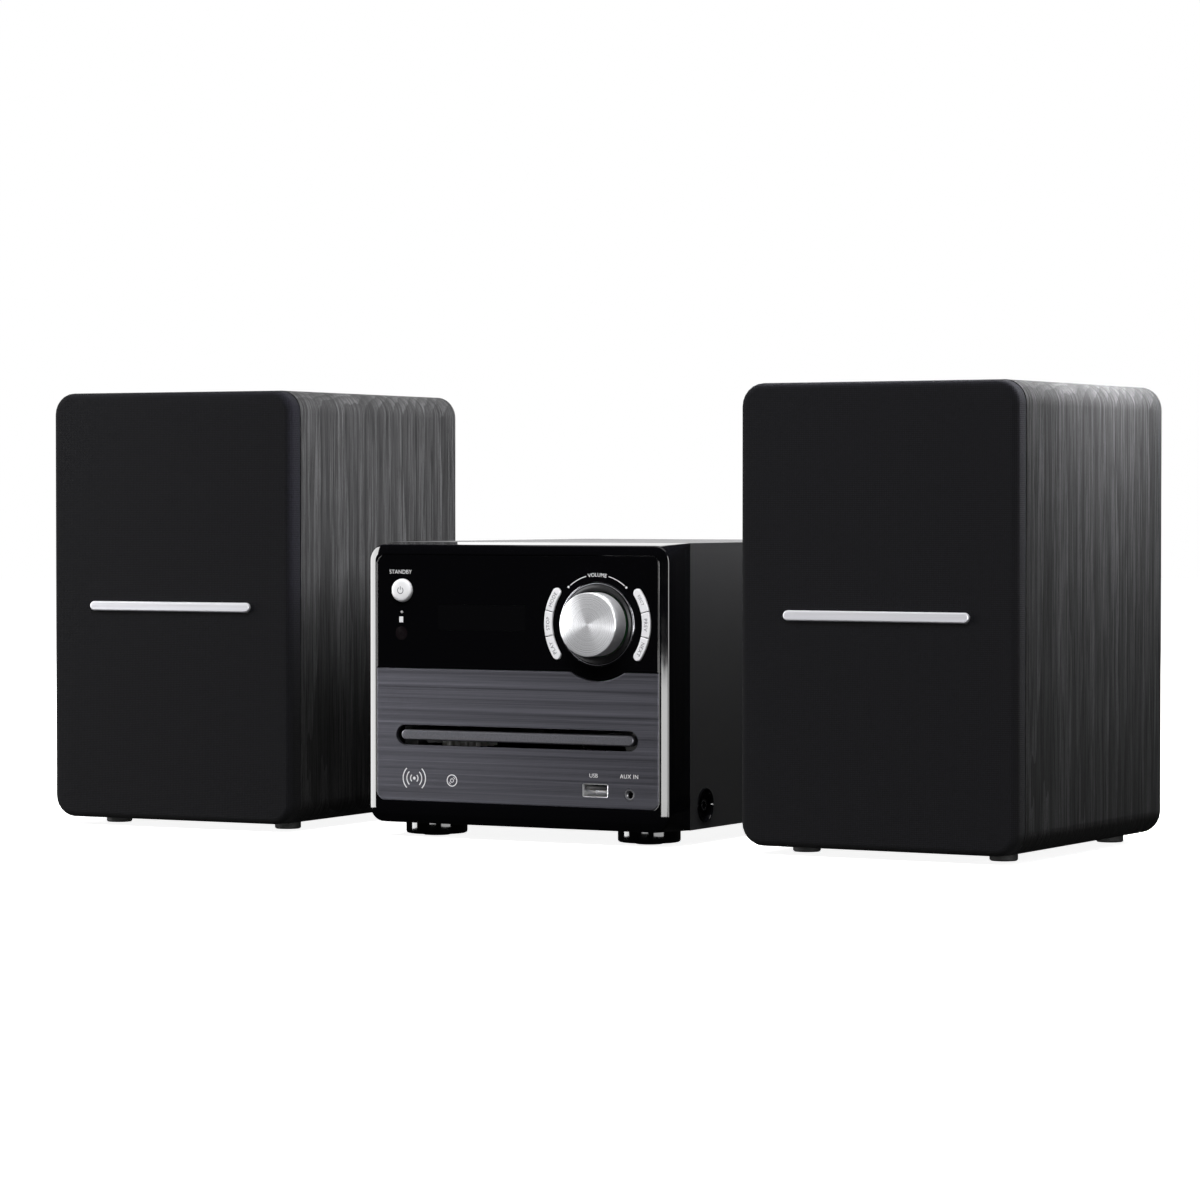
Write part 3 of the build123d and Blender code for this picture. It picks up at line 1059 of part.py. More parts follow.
def trim_bar():
    """Bright bar across the middle of the grille."""
    bar = slab(Pos(0, BAR_Z) * SlotOverall(BAR_LENGTH, BAR_HEIGHT), -BAR_PROUD, -FIT / 2)
    return fillet(bar.faces().sort_by(Axis.Y)[0].edges(), BAR_EDGE)


def speaker_feet():
    """Four small round rubber feet."""
    places = four_corners(SPEAKER_WIDTH / 2 - SPEAKER_FOOT_INSET, SPEAKER_FOOT_FRONT,
                          SPEAKER_DEPTH - SPEAKER_FOOT_REAR)
    feet = [rod("z", SPEAKER_FOOT_RADIUS, x, y, 0, SPEAKER_LIFT) for x, y in places]
    return Compound(children=[chamfer(f.faces().sort_by(Axis.Z)[0].edges(), 0.6) for f in feet])


def speaker_parts():
    """Every piece of one speaker by name."""
    return {piece.__name__.replace("speaker_", ""): piece() for piece in (
        speaker_cabinet, speaker_baffle, driver_basket, driver_cone, driver_magnet, driver_screws, port_tube,
        lead_gland, grille_frame, grille_cloth, trim_bar, speaker_feet)}


def speaker_place(side):
    """Where a speaker stands: side -1 is the left one, as seen from the front."""
    corner = Pos(side * (UNIT_WIDTH / 2 + SPEAKER_GAP), -SPEAKER_LEAD, 0)
    return corner * Rot(0, 0, -side * TOE_IN) * Pos(side * SPEAKER_WIDTH / 2, 0, 0)


# ---- The whole set -------------------------------------------------------------------------
def build():
    """All pieces by node name, with the set's footprint centred on the origin."""
    nodes = unit_parts()
    one_speaker = speaker_parts()
    for side, prefix in ((-1, "left_"), (1, "right_")):
        for name, shape in one_speaker.items():
            nodes[prefix + name] = speaker_place(side) * shape
    boxes = [shape.bounding_box() for shape in nodes.values()]
    middle_x = (min(box.min.X for box in boxes) + max(box.max.X for box in boxes)) / 2
    middle_y = (min(box.min.Y for box in boxes) + max(box.max.Y for box in boxes)) / 2
    to_middle = Pos(-middle_x, -middle_y, 0)
    return {name: to_middle * shape for name, shape in nodes.items()}


os.makedirs("parts", exist_ok=True)
for node_name, node_shape in build().items():
    export_step(node_shape, f"parts/{node_name}.step")
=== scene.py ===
"""Looks of a mini hifi system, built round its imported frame. All lengths are metres."""
import json
from math import cos, hypot, pi, radians, sin

import bmesh
import bpy
from bpy.props import FloatProperty, FloatVectorProperty, IntProperty, PointerProperty
from mathutils import Matrix, Vector


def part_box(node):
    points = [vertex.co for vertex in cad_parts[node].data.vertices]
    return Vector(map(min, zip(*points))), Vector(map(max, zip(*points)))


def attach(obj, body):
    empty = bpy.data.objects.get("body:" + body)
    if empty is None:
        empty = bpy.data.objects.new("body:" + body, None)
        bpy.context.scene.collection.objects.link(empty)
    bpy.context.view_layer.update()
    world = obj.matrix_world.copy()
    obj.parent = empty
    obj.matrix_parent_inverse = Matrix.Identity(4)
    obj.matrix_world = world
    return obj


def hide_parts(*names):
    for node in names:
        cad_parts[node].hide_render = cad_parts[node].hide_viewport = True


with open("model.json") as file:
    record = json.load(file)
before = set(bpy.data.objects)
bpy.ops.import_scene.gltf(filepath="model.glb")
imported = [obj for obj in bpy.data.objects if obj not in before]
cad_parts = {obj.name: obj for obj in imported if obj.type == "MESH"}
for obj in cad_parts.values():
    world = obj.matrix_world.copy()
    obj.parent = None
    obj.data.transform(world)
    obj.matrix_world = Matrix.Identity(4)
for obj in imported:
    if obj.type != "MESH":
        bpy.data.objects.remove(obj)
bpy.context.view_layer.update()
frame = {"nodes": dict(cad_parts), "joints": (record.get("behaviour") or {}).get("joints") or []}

bl_info = {
    "name": "Mini hifi system looks",
    "version": (1, 0, 0),
    "blender": (4, 5, 0),
    "location": "View3D > Sidebar > Hifi",
    "description": "Builds the surfaces, legends, sockets and cloth of a mini hifi system",
    "category": "Object",
}

MM = 0.001
TINY = 1e-6                    # anything shorter is no length at all
JOINED = 1e-7                  # points nearer than this are one


def middle(node):
    """Middle of a frame node's box."""
    low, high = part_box(node)
    return (low + high) / 2


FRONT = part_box("upper_fascia")[0].y
KNOB = middle("knob_cap")
STANDBY = middle("standby_button")
USB = middle("usb_socket")
AUX = middle("aux_jack")
PANEL_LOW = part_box("lower_fascia")[0]
PANEL_DEPTH = 2.6 * MM         # thickness of the front panels
PANEL_BACK = FRONT + PANEL_DEPTH
SPEAKER_WIDTH = 140.4 * MM
CABINET_MIDDLE = 87.65 * MM    # from the grille's front to the cabinet's middle
# Each arc button's word, and where it stands round the knob in degrees from the right.
ARC_BUTTONS = {
    "mode_button": ("MODE", 154), "stop_button": ("STOP", 180), "play_button": ("PLAY", 206),
    "eject_button": ("EJECT", 26), "previous_button": ("PREV", 0), "next_button": ("NEXT", -26),
}


# ---- Settings ------------------------------------------------------------------------------
def length(name, description, default):
    """A length that a user may change."""
    return FloatProperty(name=name, description=description, default=default, min=0.0, unit="LENGTH",
                         precision=5)


def colour(name, description, default):
    """A colour that a user may change."""
    return FloatVectorProperty(name=name, description=description, default=default, size=3, min=0.0, max=1.0,
                               subtype="COLOR")


class HifiStage(bpy.types.PropertyGroup):
    lens: FloatProperty(name="Lens", description="Focal length of the camera, in millimetres", default=124.77)
    brightness: FloatProperty(name="Brightness", description="Factor on every lamp", default=1.0, min=0.0)
    floor: colour("Floor", "Colour of the table", (0.93, 0.93, 0.93))


class HifiReceiver(bpy.types.PropertyGroup):
    gloss: colour("Gloss black", "Colour of the front frame and the feet", (0.0016, 0.0016, 0.0021))
    panel: colour("Brushed panel", "Colour of the lower panel", (0.088, 0.088, 0.104))
    steel: colour("Case", "Paint of the steel case", (0.032, 0.032, 0.033))
    moulding: colour("Moulding", "Colour of the plain black plastic", (0.011, 0.011, 0.012))
    button: colour("Buttons", "Colour of the white buttons", (0.88, 0.88, 0.90))
    ink: colour("Ink", "Colour of the printed legends", (0.80, 0.80, 0.82))
    slope_width: length("Band slope width", "Width of the frame's sloped band", 4.4 * MM)
    slope_depth: length("Band slope depth", "How far the band falls back", 1.3 * MM)
    edge: length("Frame edge", "Radius of the frame's outer edge", 1.2 * MM)
    ink_height: length("Ink height", "How far the printed legends stand off", 0.03 * MM)
    letter: length("Letter height", "Height of the legends' capitals", 2.1 * MM)


class HifiKnob(bpy.types.PropertyGroup):
    metal: colour("Knob metal", "Colour of the turned aluminium", (0.86, 0.865, 0.89))
    edge: length("Knob edge", "Width of the knob's polished bevel", 0.5 * MM)
    steps: IntProperty(name="Steps", description="Sides of a turned part", default=96, min=12)


class HifiSpeakers(bpy.types.PropertyGroup):
    cloth: colour("Cloth", "Colour of the grille cloth", (0.0034, 0.0034, 0.0047))
    wood: colour("Black ash", "Colour of the wrap between its pores", (0.030, 0.030, 0.031))
    trim: colour("Trim bar", "Colour of the bar across the grille", (0.74, 0.74, 0.78))
    thread: length("Thread pitch", "Distance between the cloth's threads", 0.9 * MM)
    thickness: length("Cloth thickness", "Thickness of the cloth", 0.9 * MM)
    roll: length("Cloth edge", "Radius that the cloth turns over the frame with", 3.5 * MM)
    corner: length("Corner radius", "Radius of the speaker's corners", 10.8 * MM)


SETTINGS = {"hifi_stage": HifiStage, "hifi_receiver": HifiReceiver, "hifi_knob": HifiKnob,
            "hifi_speakers": HifiSpeakers}


# ---- Materials -----------------------------------------------------------------------------
BAND_SPACING = 2 * pi / 20     # distance between a wave texture's bands at a scale of 1


class Finish:
    """A material, its shader, and short ways to add nodes to it."""

    def __init__(self, name, base, roughness, **sockets):
        self.material = bpy.data.materials.new(name)
        self.material.use_nodes = True
        self.tree = self.material.node_tree
        self.shader = self.tree.nodes["Principled BSDF"]
        self.shader.inputs["Base Color"].default_value = (*base, 1)
        self.shader.inputs["Roughness"].default_value = roughness
        for socket, value in sockets.items():
            self.shader.inputs[socket.replace("_", " ")].default_value = value

    def node(self, kind, inputs=None, out=0, **properties):
        node = self.tree.nodes.new("ShaderNode" + kind)
        for name, value in properties.items():
            setattr(node, name, value)
        for name, value in (inputs or {}).items():
            if isinstance(value, bpy.types.NodeSocket):
                self.tree.links.new(value, node.inputs[name])
            else:
                node.inputs[name].default_value = value
        return node.outputs[out]

    def coords(self, scale=(1, 1, 1), place=None, uv=False):
        """Object or UV coordinates, seen from a place's own axes if one is given, then scaled."""
        vector = self.node("TexCoord", out="UV" if uv else "Object")
        if place is not None:
            inverse = place.inverted()
            vector = self.node("Mapping", {"Vector": vector, "Location": inverse.to_translation(),
                                           "Rotation": inverse.to_euler()})
        return self.node("Mapping", {"Vector": vector, "Scale": scale})

    def noise(self, vector, scale, detail=3.0, roughness=0.55):
        inputs = {"Vector": vector, "Scale": scale, "Detail": detail, "Roughness": roughness}
        return self.node("TexNoise", inputs, out="Fac")

    def wave(self, vector, scale, distortion=0.0, **properties):
        return self.node("TexWave", {"Vector": vector, "Scale": scale, "Distortion": distortion,
                                     "Detail": 2.0, "Detail Scale": 1.5}, out="Fac", **properties)

    def span(self, value, low, high, start=0.3, end=0.7):
        """A factor from start to end, spread from low to high."""
        return self.node("MapRange", {"Value": value, "From Min": start, "From Max": end, "To Min": low,
                                      "To Max": high})

    def blend(self, factor, first, second):
        return self.node("Mix", {0: factor, 6: (*first, 1), 7: (*second, 1)}, out=2, data_type="RGBA")

    def math(self, operation, a, b):
        return self.node("Math", {0: a, 1: b}, operation=operation)

    def use(self, socket, value):
        self.tree.links.new(value, self.shader.inputs[socket])

    def bump(self, height, depth, strength=1.0):
        self.use("Normal", self.node("Bump", {"Height": height, "Distance": depth, "Strength": strength}))


def shade(base, factor):
    """A colour made lighter or darker."""
    return tuple(min(1.0, c * factor) for c in base)


def settings(name):
    return getattr(bpy.context.scene, "hifi_" + name)


def gloss_black(name="gloss_black", rough=0.045):
    """Polished black plastic, with faint smears and a slow ripple in its reflections."""
    base = tuple(settings("receiver").gloss)
    finish = Finish(name, base, rough, IOR=1.5)
    smears = finish.noise(finish.coords(), 55, 4)
    finish.use("Roughness", finish.span(smears, rough * 0.6, rough * 1.9))
    dust = finish.noise(finish.coords(), 900, 2)
    finish.use("Base Color", finish.blend(finish.span(dust, 0, 1, 0.62, 0.8), base, shade(base, 2.4)))
    finish.bump(finish.noise(finish.coords(), 30, 1), 0.02 * MM, 0.5)
    return finish.material


def brushed_panel():
    """Dark anodised aluminium, brushed from side to side."""
    base = tuple(settings("receiver").panel)
    finish = Finish("brushed_panel", base, 0.36, Metallic=0.85)
    fine = finish.noise(finish.coords((5, 1, 2600)), 1.0, 3, 0.7)
    broad = finish.noise(finish.coords((2.2, 1, 420)), 1.0, 3, 0.6)
    streaks = finish.math("ADD", finish.math("MULTIPLY", fine, 0.5), finish.math("MULTIPLY", broad, 0.5))
    finish.use("Base Color", finish.blend(finish.span(streaks, 0, 1, 0.36, 0.64), shade(base, 0.70),
                                          shade(base, 1.28)))
    finish.use("Roughness", finish.span(streaks, 0.30, 0.46))
    finish.bump(streaks, 0.10 * MM, 0.55)
    return finish.material


def tray_metal():
    """Dark grey metallic paint with a fine grain."""
    finish = Finish("tray_metal", (0.12, 0.12, 0.135), 0.38, Metallic=0.7)
    flakes = finish.noise(finish.coords(), 3200, 2)
    finish.use("Base Color", finish.blend(finish.span(flakes, 0, 1), (0.09, 0.09, 0.10), (0.15, 0.15, 0.17)))
    finish.use("Roughness", finish.span(finish.noise(finish.coords((3, 1, 60)), 1, 2), 0.32, 0.44))
    finish.bump(flakes, 0.01 * MM, 0.4)
    return finish.material


def painted_steel():
    """Satin black paint over steel sheet, with a fine stipple."""
    base = tuple(settings("receiver").steel)
    finish = Finish("painted_steel", base, 0.42)
    stipple = finish.noise(finish.coords(), 2400, 3, 0.6)
    wear = finish.noise(finish.coords(), 25, 5)
    finish.use("Base Color", finish.blend(finish.span(wear, 0, 1, 0.35, 0.75), base, shade(base, 1.08)))
    finish.use("Roughness", finish.span(stipple, 0.36, 0.5))
    finish.bump(stipple, 0.03 * MM, 0.6)
    return finish.material


def moulding(name="moulding", tone=1.0, rough=0.5):
    """Plain moulded plastic with a spark-eroded texture."""
    base = shade(settings("receiver").moulding, tone)
    finish = Finish(name, base, rough)
    grain = finish.noise(finish.coords(), 3000, 2)
    finish.use("Base Color", finish.blend(finish.span(finish.noise(finish.coords(), 80, 3), 0, 1), base,
                                          shade(base, 1.3)))
    finish.use("Roughness", finish.span(grain, rough - 0.07, rough + 0.1))
    finish.bump(grain, 0.02 * MM, 0.6)
    return finish.material


def coloured_plastic(name, base, rough=0.35):
    """Smooth coloured plastic with slight changes of tone."""
    finish = Finish(name, base, rough)
    tone = finish.noise(finish.coords(), 260, 2)
    finish.use("Base Color", finish.blend(finish.span(tone, 0, 1), base, shade(base, 0.9)))
    finish.use("Roughness", finish.span(tone, rough - 0.04, rough + 0.06))
    finish.bump(finish.noise(finish.coords(), 1800, 1), 0.01 * MM, 0.3)
    return finish.material


def button_white():
    """Satin white buttons."""
    return coloured_plastic("button_white", tuple(settings("receiver").button), 0.32)


def ink(name="ink", base=None):
    """Screen-printed ink with slightly uneven cover."""
    base = tuple(settings("receiver").ink) if base is None else base
    finish = Finish(name, base, 0.55)
    cover = finish.noise(finish.coords(), 5000, 2)
    finish.use("Base Color", finish.blend(finish.span(cover, 0, 1), shade(base, 0.88), base))
    finish.use("Roughness", finish.span(cover, 0.5, 0.65))
    finish.bump(cover, 0.004 * MM, 0.4)
    return finish.material


def smoked_window():
    """Smoked clear plastic over the dark display."""
    finish = Finish("smoked_window", (0.0022, 0.0022, 0.0026), 0.02, IOR=1.49)
    finish.use("Roughness", finish.span(finish.noise(finish.coords(), 70, 3), 0.012, 0.05))
    dots = finish.wave(finish.coords(), 420, bands_direction="X")
    finish.use("Base Color", finish.blend(dots, (0.0018, 0.0018, 0.0022), (0.003, 0.003, 0.0035)))
    return finish.material


def turned_metal():
    """Spun aluminium: its grooves run round the knob, so its highlights fan out from the middle."""
    base = tuple(settings("knob").metal)
    finish = Finish("turned_metal", base, 0.30, Metallic=0.5, Anisotropic=0.84)
    rings = finish.noise(finish.coords((5200, 0.8, 1), uv=True), 1.0, 3, 0.7)
    finish.use("Base Color", finish.blend(finish.span(rings, 0, 1), shade(base, 0.90), base))
    finish.use("Roughness", finish.span(rings, 0.23, 0.32))
    finish.use("Tangent", finish.node("Tangent", direction_type="UV_MAP", uv_map="UVMap"))
    finish.bump(rings, 0.006 * MM, 0.5)
    return finish.material


def metal(name, base, rough=0.25, stretch=(1, 1, 1)):
    """Plain metal with fine drawn lines or a fine grain."""
    finish = Finish(name, base, rough, Metallic=1.0)
    grain = finish.noise(finish.coords(stretch), 1600, 3)
    finish.use("Base Color", finish.blend(finish.span(grain, 0, 1), shade(base, 0.86), base))
    finish.use("Roughness", finish.span(grain, rough * 0.8, rough * 1.35))
    finish.bump(grain, 0.008 * MM, 0.5)
    return finish.material


def trim_metal():
    """Silver-white lacquered bar with a fine brushed line."""
    base = tuple(settings("speakers").trim)
    finish = Finish("trim_metal", base, 0.34, Metallic=0.25)
    line = finish.noise(finish.coords((12, 12, 2400)), 1, 2)
    finish.use("Base Color", finish.blend(finish.span(line, 0, 1), shade(base, 0.93), base))
    finish.use("Roughness", finish.span(line, 0.28, 0.4))
    finish.bump(line, 0.01 * MM, 0.4)
    return finish.material


def rubber():
    """Dull rubber with a powdery bloom."""
    finish = Finish("rubber", (0.009, 0.009, 0.009), 0.75)
    bloom = finish.noise(finish.coords(), 400, 4)
    finish.use("Base Color", finish.blend(finish.span(bloom, 0, 1), (0.007, 0.007, 0.007),
                                          (0.016, 0.016, 0.016)))
    finish.use("Roughness", finish.span(bloom, 0.68, 0.85))
    finish.bump(bloom, 0.03 * MM, 0.5)
    return finish.material


def circuit_board():
    """Green lacquer with copper tracks showing through."""
    finish = Finish("circuit_board", (0.03, 0.12, 0.05), 0.4)
    tracks = finish.node("TexBrick", {"Vector": finish.coords(), "Scale": 160.0, "Mortar Size": 0.03},
                         out="Fac")
    finish.use("Base Color", finish.blend(tracks, (0.02, 0.09, 0.035), (0.05, 0.19, 0.07)))
    finish.bump(tracks, 0.03 * MM, 0.5)
    return finish.material


def paper_cone():
    """Pressed black paper with fine fibres."""
    finish = Finish("paper_cone", (0.014, 0.014, 0.015), 0.7)
    fibres = finish.noise(finish.coords(), 1400, 5, 0.7)
    finish.use("Base Color", finish.blend(finish.span(fibres, 0, 1), (0.009, 0.009, 0.010),
                                          (0.030, 0.030, 0.032)))
    finish.use("Roughness", finish.span(fibres, 0.6, 0.82))
    finish.bump(fibres, 0.05 * MM, 0.6)
    return finish.material


def black_ash(name, place):
    """Black wood-grain wrap: open pores along the grain, with the figure of a flat-sawn board."""
    base = tuple(settings("speakers").wood)
    finish = Finish(name, base, 0.5, Specular_IOR_Level=0.22)
    figure = finish.wave(finish.coords((2.2, 1, 0.10), place), 46, 5.5, wave_type="RINGS",
                         rings_direction="SPHERICAL", wave_profile="SAW")
    pores = finish.noise(finish.coords((26, 1500, 26), place), 1.0, 4, 0.7)
    long_pores = finish.noise(finish.coords((7, 520, 7), place), 1.0, 3, 0.65)
    grain = finish.math("MULTIPLY", finish.span(figure, 0.35, 1.0, 0.0, 0.9),
                        finish.span(pores, 0.0, 1.0, 0.40, 0.58))
    grain = finish.math("MULTIPLY", grain, finish.span(long_pores, 0.35, 1.0, 0.36, 0.56))
    finish.use("Base Color", finish.blend(grain, shade(base, 0.22), shade(base, 1.25)))
    finish.use("Roughness", finish.span(grain, 0.62, 0.36, 0.0, 0.8))
    finish.bump(grain, 0.12 * MM, 0.8)
    return finish.material


def painted_board():
    """Matt black paint over fibreboard."""
    finish = Finish("painted_board", (0.010, 0.010, 0.010), 0.8)
    fibres = finish.noise(finish.coords(), 1100, 4)
    finish.use("Base Color", finish.blend(finish.span(fibres, 0, 1), (0.008, 0.008, 0.008),
                                          (0.018, 0.018, 0.018)))
    finish.use("Roughness", finish.span(fibres, 0.7, 0.9))
    finish.bump(fibres, 0.06 * MM, 0.6)
    return finish.material


def grille_cloth_finish():
    """Stretched open cloth: crossing threads, with slubs that catch the light."""
    look = settings("speakers")
    base = tuple(look.cloth)
    finish = Finish("grille_cloth", base, 0.85, Specular_IOR_Level=0.12, Sheen_Weight=0.03,
                    Sheen_Roughness=0.4)
    threads = BAND_SPACING / look.thread
    across = finish.wave(finish.coords(uv=True), threads, bands_direction="X")
    along = finish.wave(finish.coords(uv=True), threads, bands_direction="Y")
    weave = finish.math("MULTIPLY", across, along)
    slubs = finish.noise(finish.coords(uv=True), 820, 3, 0.7)
    weave = finish.math("ADD", finish.math("MULTIPLY", weave, 0.45), finish.math("MULTIPLY", slubs, 0.9))
    finish.use("Base Color", finish.blend(finish.span(weave, 0, 1, 0.35, 0.85), shade(base, 0.35),
                                          shade(base, 2.1)))
    finish.use("Roughness", finish.span(slubs, 0.78, 0.95))
    finish.bump(weave, 0.25 * MM, 0.8)
    return finish.material


FINISHES = {}


def finish_of(maker, *arguments):
    """A finish by its maker, made once."""
    key = (maker.__name__, arguments[:1])
    if key not in FINISHES:
        FINISHES[key] = maker(*arguments)
    return FINISHES[key]


# Metals that several pieces are made of: a maker and its arguments.
NICKEL = (metal, "nickel", (0.62, 0.62, 0.64), 0.22)
SCREW_STEEL = (metal, "screw_steel", (0.20, 0.20, 0.21), 0.35)
CAN_STEEL = (metal, "socket_steel", (0.45, 0.45, 0.46), 0.3)


# ---- Shapes --------------------------------------------------------------------------------
TURN_LENGTH = 0.02             # how far a turned part's UV map runs in one radian


def place_piece(bm, name, body, material, replaces=(), place=None, angle=35.0):
    """Turns a bmesh into a finished piece that rides on a body."""
    bmesh.ops.remove_doubles(bm, verts=bm.verts, dist=JOINED)
    if place is not None:
        bmesh.ops.transform(bm, matrix=place, verts=bm.verts)
    mesh = bpy.data.meshes.new(name)
    bm.to_mesh(mesh)
    bm.free()
    mesh.shade_smooth()
    mesh.set_sharp_from_angle(angle=radians(angle))
    piece = bpy.data.objects.new(name, mesh)
    bpy.context.scene.collection.objects.link(piece)
    mesh.materials.append(material)
    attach(piece, body)
    if replaces:
        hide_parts(*replaces)
    return piece


def dress(node, material):
    """Gives a frame node its material."""
    mesh = frame["nodes"][node].data
    mesh.materials.clear()
    mesh.materials.append(material)


def dress_all(finishes, prefix=""):
    """Gives frame nodes their finishes: each node with a maker and the maker's arguments."""
    for node, (maker, *arguments) in finishes.items():
        dress(prefix + node, finish_of(maker, *arguments))


def offsets(radius, depth, *points):
    """Profile points given in millimetres, outwards from a radius and back from a depth."""
    return [(radius + out * MM, depth + back * MM) for out, back in points]


def beside(spot, shift):
    """A place on the front, some millimetres across and up from a spot."""
    return Matrix.Translation((spot.x + shift[0] * MM, 0, spot.z + shift[1] * MM))


def lathe(bm, profile, steps=96, closed=False, uv=False):
    """Turns a profile of (radius, depth) points round the Y axis, into a closed shell."""
    first = len(bm.verts)
    points = [bm.verts.new((radius, depth, 0)) for radius, depth in profile]
    pairs = list(zip(points, points[1:])) + ([(points[-1], points[0])] if closed else [])
    edges = [bm.edges.new(pair) for pair in pairs]
    bmesh.ops.spin(bm, geom=points + edges, cent=(0, 0, 0), axis=(0, 1, 0), dvec=(0, 0, 0), angle=2 * pi,
                   steps=steps, use_merge=True, use_duplicate=False)
    bm.verts.ensure_lookup_table()
    made = bm.verts[first:]
    bmesh.ops.remove_doubles(bm, verts=made, dist=JOINED)
    bmesh.ops.recalc_face_normals(bm, faces=bm.faces)
    if uv:
        layer = bm.loops.layers.uv.new("UVMap")
        for face in bm.faces:
            centre = face.calc_center_median()
            for corner in face.loops:
                x, _, z = corner.vert.co
                radius = hypot(x, z)
                around = 0.0
                if radius > TINY:
                    around = Vector((centre.x, centre.z)).angle_signed(Vector((x, z)), 0.0)
                corner[layer].uv = (radius, around * TURN_LENGTH)


def rounded_loop(bm, width, height, radius, y, steps=8, x=0.0, z=0.0):
    """Edges of a rectangle with rounded corners, in a plane that faces -Y."""
    before = set(bm.faces)
    corners = [bm.verts.new((x + sx * width / 2, y, z + sz * height / 2))
               for sx, sz in ((-1, -1), (1, -1), (1, 1), (-1, 1))]
    face = bm.faces.new(corners)
    if radius > 0:
        bmesh.ops.bevel(bm, geom=corners, offset=radius, offset_type="OFFSET", segments=steps, profile=0.5,
                        affect="VERTICES", material=-1)
        face = next(f for f in bm.faces if f not in before)
    edges = list(face.edges)
    bmesh.ops.delete(bm, geom=[face], context="FACES_ONLY")
    return edges


def skin(bm, loops, closed=False, cap_first=False, cap_last=False):
    """Bridges loops one after the other; closed joins the last to the first."""
    pairs = list(zip(loops, loops[1:])) + ([(loops[-1], loops[0])] if closed else [])
    for first, second in pairs:
        bmesh.ops.bridge_loops(bm, edges=first + second)
    for wanted, loop in ((cap_first, loops[0]), (cap_last, loops[-1])):
        if wanted:
            bmesh.ops.contextual_create(bm, geom=loop)
    bmesh.ops.recalc_face_normals(bm, faces=bm.faces)


def quarter(steps):
    """Shares of a quarter turn: (across, along) from 0, 0 to 1, 1."""
    return [(sin(pi / 2 * i / steps), 1 - cos(pi / 2 * i / steps)) for i in range(steps + 1)]


def box_shape(bm, low, high, bevel=0.0, segments=3):
    """A box with all its edges bevelled."""
    low, high = Vector(low), Vector(high)
    made = bmesh.ops.create_cube(bm, size=1.0)
    matrix = Matrix.Translation((low + high) / 2) @ Matrix.Diagonal((*(high - low), 1))
    bmesh.ops.transform(bm, matrix=matrix, verts=made["verts"])
    if bevel:
        edges = {e for v in made["verts"] for e in v.link_edges}
        bmesh.ops.bevel(bm, geom=list(edges), offset=bevel, offset_type="OFFSET", segments=segments,
                        profile=0.5, affect="EDGES", material=-1)


def arc_band(bm, radius, width, start, end, low, high, steps=24):
    """A solid strip along an arc in the X-Z plane; angles are degrees, clockwise from the top."""
    inner, outer = radius - width / 2, radius + width / 2
    turn = Matrix.Rotation(radians(start), 4, "Y")
    corners = [bm.verts.new(turn @ Vector((0, y, r))) for r, y in
               ((inner, low), (outer, low), (outer, high), (inner, high))]
    face = bm.faces.new(corners)
    full = abs(end - start) >= 360
    bmesh.ops.spin(bm, geom=corners + list(face.edges) if full else [face], cent=(0, 0, 0), axis=(0, 1, 0),
                   dvec=(0, 0, 0), angle=radians(end - start), steps=steps, use_merge=full,
                   use_duplicate=False)
    if full:
        bmesh.ops.delete(bm, geom=[face], context="FACES_ONLY")
    bmesh.ops.recalc_face_normals(bm, faces=bm.faces)


def word_shape(bm, word, height, low, high, bend=0.0, centre=(0, 0), turn=0.0, spacing=1.0):
    """A word as solid letters facing -Y, straight, or bent round a centre at a clockwise angle."""
    curve = bpy.data.curves.new("word", "FONT")
    curve.body, curve.size, curve.extrude = word, 1.0, 0.1
    curve.align_x = curve.align_y = "CENTER"
    curve.resolution_u, curve.space_character = 4, spacing
    source = bpy.data.objects.new("word", curve)
    bpy.context.scene.collection.objects.link(source)
    bpy.context.view_layer.update()
    mesh = bpy.data.meshes.new_from_object(source.evaluated_get(bpy.context.evaluated_depsgraph_get()))
    bpy.data.objects.remove(source)
    xs, ys = [v.co.x for v in mesh.vertices], [v.co.y for v in mesh.vertices]
    scale = height / (max(ys) - min(ys))
    mid_x, mid_y = (max(xs) + min(xs)) / 2, (max(ys) + min(ys)) / 2
    for vert in mesh.vertices:
        x, y = (vert.co.x - mid_x) * scale, (vert.co.y - mid_y) * scale
        depth = low if vert.co.z > 0 else high
        if bend:
            angle = radians(turn) + x / bend
            x, y = (bend + y) * sin(angle), (bend + y) * cos(angle)
        vert.co = (centre[0] + x, depth, centre[1] + y)
    bm.from_mesh(mesh)
    bpy.data.meshes.remove(mesh)


def join_shape(bm, other, place=None):
    """Adds another bmesh to this one, moved to its place."""
    mesh = bpy.data.meshes.new("part")
    other.to_mesh(mesh)
    other.free()
    if place is not None:
        mesh.transform(place)
    bm.from_mesh(mesh)
    bpy.data.meshes.remove(mesh)


def disc_shape(radius, low, high, steps=32, dome=0.0):
    """A flat or slightly domed disc facing -Y."""
    bm = bmesh.new()
    face = [(0, low - dome), (radius * 0.6, low - dome * 0.6), (radius, low)]
    lathe(bm, face + [(radius, high), (0, high)], steps)
    return bm


def speaker_place(side):
    """Where a speaker's own axes lie: its grille's front at Y = 0, its middle at X = 0."""
    pull = next(j for j in frame["joints"] if j["name"] == side + "_grille_pull")
    turn = Vector((0, -1, 0)).rotation_difference(Vector(pull["axis"])).to_matrix().to_4x4()
    centre = middle(side + "_cabinet")
    return Matrix.Translation((centre.x, centre.y, 0)) @ turn @ Matrix.Translation((0, -CABINET_MIDDLE, 0))


